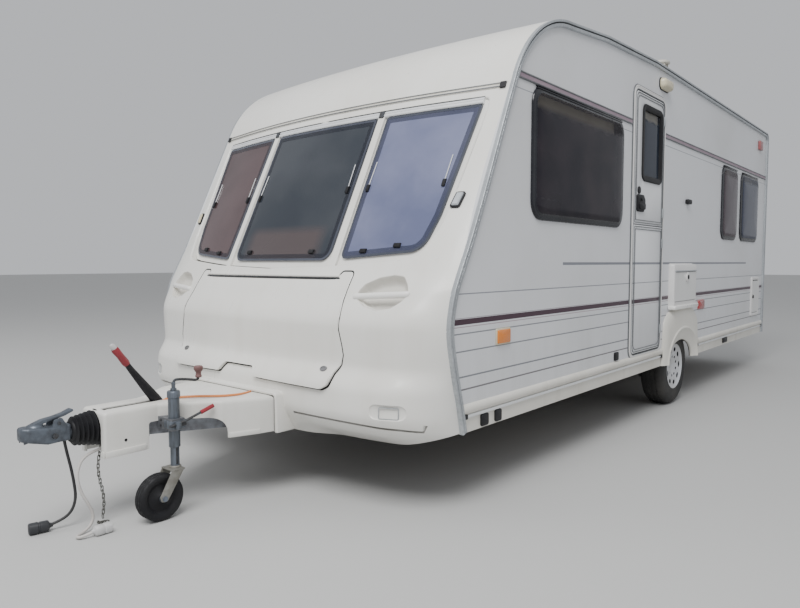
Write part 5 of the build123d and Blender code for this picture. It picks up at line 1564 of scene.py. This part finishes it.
def makeDrawbar():
    # cast coupling head with its ball socket, hand lever and shank
    plan = roundPoly(drawbarShape["headPlan"], [0.018, 0.018, 0.015, 0.03, 0.02, 0, 0, 0.02, 0.03, 0.015], 4)

    def headPlace(a, b, t):
        rise = max(min((b - 0.9) / 0.09, 1), 0)
        low, high = 0.376 + 0.024 * rise, 0.444 + 0.01 * rise
        return a, noseY(-b), low + (high - low) * t
    head = slab("couplingHead", plan, headPlace)
    softEdges(head, 0.01, 3, 30)
    socket = roundZ("cutter", [(0.3, 0.0255), (0.4, 0.0255), (0.415, 0.022), (0.424, 0.014), (0.428, 0.003)], 0,
        noseY(-0.94), 28)
    cut(head, socket)
    dome = roundZ("ballHouse", [(0.436, 0.034), (0.448, 0.033), (0.456, 0.028), (0.461, 0.018), (0.463, 0.004)], 0,
        noseY(-0.94))
    cheeks = [sidePlate("cheek", 1, roundPoly([(-0.9, 0.4), (-0.845, 0.4), (-0.83, 0.44), (-0.85, 0.476),
        (-0.88, 0.47)], 0.01, 4), x, x + 0.008, 0.002) for x in (-0.034, 0.026)]
    pin = tube("leverPin", [ahead(-0.04, 0.862, 0.455), ahead(0.04, 0.862, 0.455)], 0.007, 12)
    shank = roundY("couplingShank", [(0.835, 0.024), (0.83, 0.03), (0.812, 0.03), (0.808, 0.028), (0.502, 0.028)], 0,
        0.405)
    handle = sidePlate("couplingHandle", 1, roundPoly([(-f, z) for f, z in drawbarShape["handle"]], 0.004, 2), -0.017,
        0.017, 0.003)
    nut = tube("shankBolt", [ahead(-0.044, 0.88, 0.408), ahead(0.047, 0.88, 0.408)], 0.011, 12)
    doneAs("couplingHead", [painted(head, castGrey), painted(dome, castGrey), painted(shank, castGrey),
        painted(handle, castGrey), painted(pin, darkSteel), painted(nut, darkSteel)] + [painted(c, castGrey)
        for c in cheeks], replaces="coupling_head")

    # ribbed gaiter
    front, rear, z, ribs = drawbarShape["gaiter"]
    rows = [(front + 0.002, 0.03), (front + 0.002, 0.04), (front - 0.004, 0.046)]
    for i in range(ribs):
        start = front - 0.006 - (front - rear - 0.012) * i / ribs
        pitch, grow = (front - rear - 0.012) / ribs, 0.0032 * i
        for share, radius in ((0.12, 0.047), (0.3, 0.056), (0.5, 0.06), (0.7, 0.056), (0.88, 0.047)):
            rows.append((start - pitch * share, radius + grow))
    rows += [(rear + 0.004, 0.062), (rear + 0.002, 0.067), (rear - 0.006, 0.069), (rear - 0.014, 0.067),
        (rear - 0.014, 0.03)]
    gaiter = roundY("gaiter", rows, 0, z, 40, capped=False)
    tidyNormals(gaiter)
    done(gaiter, blackRubber, angle=50, replaces="gaiter")

    # moulded cover
    plan = drawbarShape["cover"]
    sharp = plan + flipX(plan)
    corners = [0.014, 0.02, 0.03, 0.03, 0.02, 0, 0, 0.02, 0.03, 0.03, 0.02, 0.014]
    top, low, thick = drawbarShape["coverTop"], drawbarShape["coverLow"], drawbarShape["wall"]

    rings = []
    for inset, z in ((0, low), (0, 0.36), (0, 0.43), (0, top - 0.016), (0.0015, top - 0.008), (0.006, top - 0.002),
            (0.013, top), (0.04, top + 0.003)):
        line = roundPoly(grown(sharp, -inset), corners, 4)
        rings.append([tuple(ahead(a, b, z - 0.012 * max(min((0.25 - b) / 0.3, 1), 0) * (z > 0.45))) for a, b in line])
    cover = ringShell("drawbarCover", rings, True, (0, 0, 1))
    useModifier(cover, "SOLIDIFY", thickness=thick, offset=-1)
    c0, c1, head0, corner = drawbarShape["sideCut"]
    window = roundPoly([(-c0, low - 0.05), (-c1, low - 0.05), (-c1, head0), (-c0, head0)], [0, 0, corner, 0.012], 6)
    tools = [sidePlate("cutter", 1, window, -0.6, 0.6), boxOf("cutter", (-0.6, noseY(-c1 - 0.01), low - 0.05),
        (0.6, noseY(0.12), drawbarShape["coverRearLow"]))]
    a0, a1, f0, f1 = drawbarShape["slit"]
    tools.append(boxOf("cutter", (a0, noseY(-f0), top - 0.05), (a1, noseY(-f1), top + 0.05)))
    tools.append(roundY("cutter", [(0.73, 0.071), (0.66, 0.071)], 0, 0.403, 36))
    tools.append(boxOf("cutter", (-0.071, noseY(-0.73), low - 0.05), (0.071, noseY(-0.66), 0.403)))
    tools.append(boxOf("cutter", (-0.4, noseY(-0.1), low - 0.05), (0.4, noseY(0.09), 0.3)))
    for tool in tools:
        cut(cover, tool)
    # raised strips along the feet of the cover
    strips = []
    for flip in (1, -1):
        side = [(flip * 0.1, 0.7135), (flip * 0.1, 0.537), (flip * 0.105, 0.537), (flip * 0.105, 0.7135)]
        strips.append(slab("coverStrip", grown(side, 0.0005), lambda a, b, t: (a, noseY(-b), 0.29 + 0.026 * t)))
        p, q = (flip * 0.2665, 0.234), (flip * 0.3112, 0.098)
        side = [p, q, (q[0] + flip * 0.005, q[1] + 0.003), (p[0] + flip * 0.005, p[1] + 0.003)]
        strips.append(slab("coverStrip", side, lambda a, b, t: (a, noseY(-b), 0.309 + 0.022 * t)))
    strips.append(boxOf("coverStrip", (-0.101, noseY(-0.7195), 0.29), (-0.074, noseY(-0.714), 0.316)))
    strips.append(boxOf("coverStrip", (0.074, noseY(-0.7195), 0.29), (0.101, noseY(-0.714), 0.316)))
    for strip in strips:
        softEdges(strip, 0.0018, 2, 30)
    holes = [tube("coverHole", [ahead(flip * 0.097, 0.625, 0.35), ahead(flip * 0.1008, 0.625, 0.35)], 0.0065, 16)
        for flip in (1, -1)]
    doneAs("drawbarCover", [painted(cover, coverPlastic)] + [painted(s, coverPlastic) for s in strips]
        + [painted(h, blackPlastic) for h in holes], 35, "drawbar_cover")

    # raised surround where the cover meets the front
    half, headZ, footZ = trimShape["fairing"]
    outer = roundPoly([(-half - 0.014, footZ - 0.004), (-half - 0.004, headZ), (half + 0.004, headZ),
        (half + 0.014, footZ - 0.004)], [0, 0.02, 0.02, 0], 5)
    inner = roundPoly([(-half + 0.008, footZ - 0.03), (-half + 0.008, headZ - 0.016), (half - 0.008, headZ - 0.016),
        (half - 0.008, footZ - 0.03)], [0, 0.014, 0.014, 0], 5)
    fairing = prism("coverFairing", outer, noseY(-0.034), noseY(0.1))
    cut(fairing, prism("cutter", inner, noseY(-0.2), noseY(0.3)))
    softEdges(fairing, 0.006, 3, 35)
    done(fairing, gelcoat)
    # black gasket round the cover; its top shows over the cover's seam as a dark line, which also stands in for the
    # shade in the gap
    gasket = prism("coverGasket", grown(inner, 0.001), noseY(-0.03), noseY(-0.01))
    hole = [(x, min(z, trimShape["coverSeam"])) for x, z in grown(inner, -0.0045)]
    cut(gasket, prism("cutter", hole, noseY(-0.2), noseY(0.3)))
    cut(gasket, boxOf("cutter", (-0.6, noseY(-0.2), 0.2), (0.6, noseY(0.3), 0.308)))
    done(gasket, blackRubber)

    # parking brake lever
    lever, grip, tip = (limb("brake" + key.title(), drawbarShape[key]) for key in ("lever", "grip", "tip"))
    quadrant = sidePlate("brakeQuadrant", 1, roundPoly([(-0.5, 0.4), (-0.42, 0.4), (-0.405, 0.455), (-0.43, 0.485),
        (-0.475, 0.475)], 0.012, 4), 0.022, 0.046, 0.002)
    doneAs("brakeLever", [painted(lever, blackPlastic), painted(grip, redGrip), painted(tip, plugWhite),
        painted(quadrant, darkSteel)], 50, "brake_lever")
    lead = tube("orangeLead", [ahead(a, b, z + 0.001) for a, b, z in drawbarShape["orange"]], 0.0055, 12, curved=True)
    done(lead, orangeFlex, angle=60)
    print("drawbar made")


# jockey wheel
jockeyShape = {
    "x": 0.18, "y": noseY(-0.45), "wheelY": noseY(-0.525), "wheelZ": 0.1, "knob": (0.122, 0.576),
}


def makeJockey():
    x, y = jockeyShape["x"], jockeyShape["y"]
    sleeve = roundZ("jockeySleeve", [(0.3, 0.0195), (0.3, 0.0232), (0.3015, 0.024), (0.512, 0.024), (0.514, 0.0275),
        (0.538, 0.0275), (0.542, 0.025), (0.542, 0.012)], x, y, 32)
    stem = roundZ("crankStem", [(0.538, 0.013), (0.552, 0.013), (0.554, 0.0085), (0.578, 0.0085), (0.58, 0.006)], x,
        y, 20)
    reach, low = jockeyShape["knob"]
    arm = tube("crankArm", [(x, y, 0.56), (x, y, 0.582), (x, y + 0.012, 0.59), (x, y + 0.08, low + 0.004),
        (x, y + reach - 0.012, low - 0.004), (x, y + reach, low + 0.004), (x, y + reach, low + 0.016)], 0.006, 12,
        curved=True)
    knob = roundZ("crankKnob", [(low + rise, r) for rise,
        r in ((0.006, 0.006), (0.008, 0.013), (0.013, 0.015), (0.02, 0.012), (0.03, 0.0115), (0.036, 0.016),
        (0.044, 0.02), (0.054, 0.02), (0.059, 0.015), (0.06, 0.004))], x, y + reach, 24)
    rib = painted(boxOf("sleeveSeam", (x + 0.0205, y - 0.0025, 0.424), (x + 0.0258, y + 0.0025, 0.51), 0.001),
        zincGrey)
    doneAs("jockeySleeve", [painted(sleeve, zincGrey), painted(stem, zincGrey), painted(arm, darkSteel),
        painted(knob, fadedRed), rib], 40, "jockey_sleeve", "sleeve")
    leg = roundZ("jockeyLeg", [(0.2125, 0.01), (0.2125, 0.0188), (0.42, 0.0188), (0.42, 0.01)], x, y, 28)
    groove = boxOf("cutter", (x + 0.0145, y - 0.005, 0.225), (x + 0.03, y + 0.005, 0.41))
    cut(leg, groove)
    back = boxOf("legKey", (x + 0.012, y - 0.0048, 0.226), (x + 0.015, y + 0.0048, 0.409))
    doneAs("jockeyLeg", [painted(leg, zincGrey), painted(back, darkSteel)], 40, "jockey_leg", "leg")

    # clamp on the frame, with its long handle
    clamp = [painted(tube("clampBolt", [(x - 0.055, y - 0.033, z), (x - 0.055, y + 0.04, z)], 0.006, 10), darkSteel)
        for z in (0.387, 0.413)]
    for piece, finish in ((boxOf("clampBand", (x - 0.028, y - 0.0335, 0.382), (x + 0.0375, y + 0.0335, 0.418), 0.004),
            zincGrey), (boxOf("clampEar", (x + 0.03, y - 0.02, 0.384), (x + 0.056, y + 0.004, 0.416), 0.004),
            zincGrey), (tube("clampScrew", [(x + 0.042, y - 0.046, 0.4), (x + 0.042, y + 0.03, 0.4)], 0.0065, 12),
            darkSteel), (tube("clampBar", [(x + 0.042, y - 0.04, 0.4), (x + 0.052, y + 0.03, 0.418),
            (x + 0.062, y + 0.105, 0.446)], 0.0055, 10), darkSteel),
            (tube("clampGrip", [(x + 0.0605, y + 0.092, 0.441), (x + 0.068, y + 0.15, 0.463)], 0.0095, 14), redGrip)):
        clamp.append(painted(piece, finish))
    band = clamp[2]
    cut(band, roundZ("cutter", [(0.3, 0.0246), (0.5, 0.0246)], x, y, 28))
    doneAs("jockeyClamp", clamp, 40)

    # fork
    wy, wz = jockeyShape["wheelY"], jockeyShape["wheelZ"]
    cheeks = []
    line = [(y + 0.02, 0.2115), (y - 0.036, 0.2115), (wy - 0.02, wz + 0.008), (wy - 0.013, wz - 0.013),
        (wy + 0.013, wz - 0.015), (wy + 0.024, wz + 0.002)]
    line = roundPoly([(a - noseY(0), b) for a, b in line], [0.004, 0.006, 0.008, 0.01, 0.01, 0.01], 4)
    for dx in (-1, 1):
        low = x + dx * 0.04 - 0.003
        cheeks.append(painted(sidePlate("forkCheek", 1, line, low, low + 0.006, 0.0015), forkGrey))
    crownPlate = painted(boxOf("forkCrown", (x - 0.044, y - 0.04, 0.206), (x + 0.044, y + 0.022, 0.212), 0.002),
        forkGrey)
    collar = painted(roundZ("forkCollar", [(0.21, 0.01), (0.21, 0.026), (0.216, 0.026), (0.22, 0.022), (0.22, 0.01)],
        x, y), forkGrey)
    pin = [painted(tube("forkPin", [(x - 0.052, wy, wz), (x + 0.052, wy, wz)], 0.0068, 14), zincGrey)]
    for dx in (-1, 1):
        xs = sorted((x + dx * 0.0432, x + dx * 0.05))
        pin.append(painted(tube("forkNut", [(xs[0], wy, wz), (xs[1], wy, wz)], 0.0115, 12), zincGrey))
    doneAs("jockeyFork", cheeks + [crownPlate, collar] + pin, 35, "jockey_fork", "caster")

    # ribbed small wheel on its hub
    profile = [(0.0075, -0.03), (0.022, -0.03), (0.024, -0.027), (0.05, -0.018), (0.058, -0.016), (0.064, -0.02),
        (0.072, -0.026), (0.084, -0.0295), (0.092, -0.028), (0.097, -0.024), (0.099, -0.02), (0.0965, -0.017),
        (0.0965, -0.013), (0.0995, -0.011), (0.0995, -0.005), (0.0965, -0.003)]
    profile += [(r, -o) for r, o in reversed(profile)]
    wheel = spun("jockeyTyre", profile, (x, wy, wz), 1, 56)
    for vertex in wheel.data.vertices:
        dy, dz = vertex.co.y - wy, vertex.co.z - wz
        r = math.hypot(dy, dz)
        if r > 0.0985 and round(math.atan2(dz, dy) / math.tau * 56) % 4 == 0:
            vertex.co.y, vertex.co.z = wy + dy * (r - 0.003) / r, wz + dz * (r - 0.003) / r
    hub = spun("jockeyHub", [(0.0076, -0.0335), (0.016, -0.0335), (0.018, -0.03), (0.018, 0.03), (0.016, 0.0335),
        (0.0076, 0.0335)], (x, wy, wz), 1, 32)
    doneAs("jockeyWheel", [painted(wheel, blackRubber), painted(hub, darkSteel)], 40, "jockey_wheel", "small_wheel")
    print("jockey wheel made")


def makeChain():
    # one link, copied down the hanging run and into a heap on the ground
    clearSelection()
    half = 0.0045
    turns = [a * math.tau / 16 for a in list(range(16)) + [0]]
    first = tube("chainLink", [(0, half * math.cos(turn) * 1.15,
        half * math.sin(turn) * 1.15 + (0.0068 if turn < 3 else -0.0068)) for turn in turns], 0.0019, 8)
    links = []
    places = [((0.03, noseY(-0.702 - 0.01 * math.sin(i * 0.35)), 0.312 - 0.0165 * i), (0, 0, 90 * (i % 2) + 8))
        for i in range(18)]
    heap = [(0.034, 0.7, 0.006), (0.046, 0.712, 0.005), (0.06, 0.706, 0.006), (0.052, 0.694, 0.01),
        (0.038, 0.69, 0.005), (0.028, 0.716, 0.008), (0.066, 0.722, 0.005), (0.02, 0.704, 0.005)]
    places += [((hx, noseY(-hf), hz), (86, 12 * k, 47 * k)) for k, (hx, hf, hz) in enumerate(heap)]
    for place, turn in places:
        pick(first)
        bpy.ops.object.duplicate()
        link = bpy.context.object
        link.location = place
        link.rotation_euler = [math.radians(a) for a in turn]
        applyPlace()
        links.append(link)
    bpy.data.objects.remove(first)
    hook = tube("chainHook", [(0.03, noseY(-0.69), 0.352), (0.03, noseY(-0.7), 0.335), (0.03, noseY(-0.702), 0.318)],
        0.0035, 8)
    done(join("hangingChain", *links, hook), darkZinc, angle=60)
    print("chain made")


# rear
rearParts = {
    "bumper": (1.066, 0.345, 0.56), "plate": (0.26, 0.402, 0.512), "grooves": (0.392, 0.524),
    "marker": (0.985, 1.045, 2.228, 2.318),
    "strips": ((1.974, 1.055), (0.833, 1.06)), "reflector": (0.905, 1.005, 0.455, 0.5),
}


def makeRear():
    rear = noseY(sideShape["rear"])
    half, low, high = rearParts["bumper"]
    # bumper moulding, rounded, with two long grooves and a sunk place for the plate
    section = [(low, -0.03), (low, 0.014), (low + 0.004, 0.02), (low + 0.012, 0.0245), (low + 0.022, 0.026)]
    for z in rearParts["grooves"]:
        section += [(z - 0.006, 0.026), (z - 0.003, 0.0225), (z + 0.003, 0.0225), (z + 0.006, 0.026)]
    section += [(high - 0.02, 0.026), (high - 0.01, 0.024), (high - 0.003, 0.018), (high, 0.01), (high, 0.0005),
        (0.43, 0.0005), (0.43, -0.03)]
    count = len(section)

    def place(u, v):
        z, out = section[round(u * count) % count]
        x = -half + 2 * half * v
        turn = max(abs(x) - (half - 0.05), 0) / 0.05
        return x, rear + (out if out < 0.001 else out * math.sqrt(max(1 - 0.75 * turn * turn, 0))), z
    bumper = shapedGrid("rearBumper", count, 90, place, closed=True)
    w, z0, z1 = rearParts["plate"]
    cut(bumper, boxOf("cutter", (-w - 0.012, rear + 0.018, z0 - 0.01), (w + 0.012, rear + 0.2, z1 + 0.01)))
    parts = [painted(bumper, gelcoatCool), rearBox("blankPlate", (-w, w), (0.017, 0.021), (z0, z1), plateWhite,
        0.001)]
    r0, r1, *up = rearParts["reflector"]
    for flip in (1, -1):
        parts.append(rearBox("rearReflector", (flip * r0, flip * r1), (0.02, 0.034), up, redLens, 0.004))
        middle = flip * (w + 0.03)
        parts.append(rearBox("plateLamp", (middle - 0.014, middle + 0.014), (0.02, 0.04), (0.44, 0.474), blackPlastic,
            0.004))
    doneAs("rearBumper", parts, 35, "rear_bumper")
    extras = []
    (z, reach), (lineZ, lineReach) = rearParts["strips"]
    for foot, head, out, finish in ((-0.018, -0.009, 0.006, railAlloy), (-0.0095, 0.0095, 0.004, mauveInsert),
            (0.009, 0.018, 0.006, railAlloy)):
        extras.append(rearBox("rearStrip", (-reach, reach), (-0.001, out), (z + foot, z + head), finish, 0.0015))
    heights = lineZ - 0.0125, lineZ + 0.0125
    extras.append(rearBox("rearLine", (-lineReach, lineReach), (-0.001, 0.0015), heights, maroonLine, 0.0005))
    m0, m1, *up = rearParts["marker"]
    for flip in (1, -1):
        extras.append(rearBox("rearMarker", (flip * m0, flip * m1), (-0.001, 0.022), up, redLens, 0.006, 3))
        extras.append(rearBox("rearCorner", (flip * 1.0765, flip * 1.0995), (-0.001, 0.0045), (0.432, 2.352),
            creamPlastic, 0.002))
    doneAs("rearTrims", extras, 35)
    print("rear made")


# cords
cordShape = {
    "white": {"radius": 0.006, "points": [(0.03, 0.676, 0.335), (0.033, 0.704, 0.316), (0.04, 0.745, 0.312),
        (0.048, 0.784, 0.296), (0.053, 0.806, 0.256), (0.056, 0.808, 0.208), (0.06, 0.793, 0.154),
        (0.064, 0.768, 0.104), (0.066, 0.752, 0.06), (0.072, 0.764, 0.026), (0.084, 0.8, 0.009),
        (0.102, 0.838, 0.008), (0.128, 0.842, 0.009), (0.139, 0.812, 0.015), (0.14, 0.785, 0.021)]},
    "whitePlug": [(0.14, 0.796, 0.021, 0.0065, 0.0065), (0.14, 0.788, 0.021, 0.0085, 0.0085),
        (0.14, 0.7845, 0.021, 0.011, 0.011), (0.14, 0.783, 0.021, 0.017, 0.017), (0.14, 0.777, 0.021, 0.0195, 0.0195),
        (0.1405, 0.752, 0.021, 0.02, 0.0205), (0.1405, 0.75, 0.021, 0.0185, 0.019),
        (0.1405, 0.746, 0.021, 0.0185, 0.019), (0.1405, 0.744, 0.021, 0.0205, 0.0205),
        (0.141, 0.722, 0.021, 0.0205, 0.0205), (0.141, 0.717, 0.021, 0.019, 0.019),
        (0.141, 0.7155, 0.021, 0.014, 0.014)],
    "blackPlug": [(-0.0515, 0.866, 0.024, 0.0078, 0.0078), (-0.0525, 0.874, 0.024, 0.0095, 0.0095),
        (-0.054, 0.878, 0.024, 0.012, 0.012), (-0.0545, 0.88, 0.024, 0.019, 0.019),
        (-0.0555, 0.885, 0.024, 0.0215, 0.0215), (-0.061, 0.91, 0.024, 0.022, 0.022),
        (-0.0615, 0.912, 0.024, 0.02, 0.02), (-0.0625, 0.917, 0.024, 0.02, 0.02),
        (-0.063, 0.919, 0.024, 0.0228, 0.0228), (-0.0692, 0.948, 0.024, 0.0228, 0.0228),
        (-0.07, 0.9515, 0.024, 0.018, 0.018)],
    "black": {"radius": 0.006, "points": [(-0.014, 0.826, 0.373), (-0.015, 0.818, 0.325), (-0.017, 0.802, 0.255),
        (-0.019, 0.79, 0.185), (-0.019, 0.784, 0.12), (-0.027, 0.798, 0.066), (-0.04, 0.832, 0.036),
        (-0.054, 0.878, 0.024)]},
}


def layCord(name, cord, finish, node):
    # a cord that stays a curve, and the point it comes out at
    points = [(x, noseY(-forward), z) for x, forward, z in cord["points"]]
    piece = curveAlong(name, points, cord["radius"], 4, 10)
    piece.data.materials.append(finish)
    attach(piece, "caravan")
    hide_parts(node)
    return piece, points[0]


def makeCords():
    white, whiteExit = layCord("whiteLead", cordShape["white"], whiteFlex, "white_cord")
    black, blackExit = layCord("blackLead", cordShape["black"], blackFlex, "black_cord")
    whitePlug = done(limb("whitePlug", cordShape["whitePlug"], 24, 0.7), plugWhite, angle=40, replaces="cord_plugs")
    blackPlug = done(limb("blackPlug", cordShape["blackPlug"], 24, 0.85), blackPlugRubber, angle=40)
    print("cords made")


# solids that keep their shape
solidFinishes = {
    "side_wall_door side_wall_far door_lower door_upper": wallSheet,
    "roof_panel rear_panel side_frames hatch_flap rear_hatch_flap rear_bumper": gelcoatCool,
    "roof_cap front_panel locker_lid grab_handles": gelcoat,
    "front_panes body_panes door_pane": tintedPane,
    "awning_rails": railAlloy,
    "side_skirts wheel_spats": creamPlastic,
    "floor front_locker": boardFinish,
    # the steel under the body takes the darkened galvanised steel: painted shade
    "chassis a_frame coupling_head jockey_fork axle steady_front_door steady_front_far": shadedSteelGrey,
    "steady_rear_door steady_rear_far": shadedSteelGrey,
    "gaiter jockey_wheel": blackRubber,
    "drawbar_cover": coverPlastic,
    "brake_lever": darkSteel,
    "jockey_sleeve jockey_leg": zincGrey,
    "tyre_door tyre_far": tyreRubber,
    "wheel_door wheel_far": whiteSteel,
    "lamps": smokedLens,
    "roof_vents": ventPlastic,
    "cord_plugs": plugWhite,
}


def paintSolids():
    for names, finish in solidFinishes.items():
        for name in names.split():
            painted(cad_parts[name], finish)


setStage()
makeCords()
paintSolids()
makeFront()
makeSides()
makeDoor()
makeSpats()
makeWheels()
makeLampsAndRoof()
makeFrontTrims()
makeDrawbar()
makeJockey()
makeChain()
makeRear()
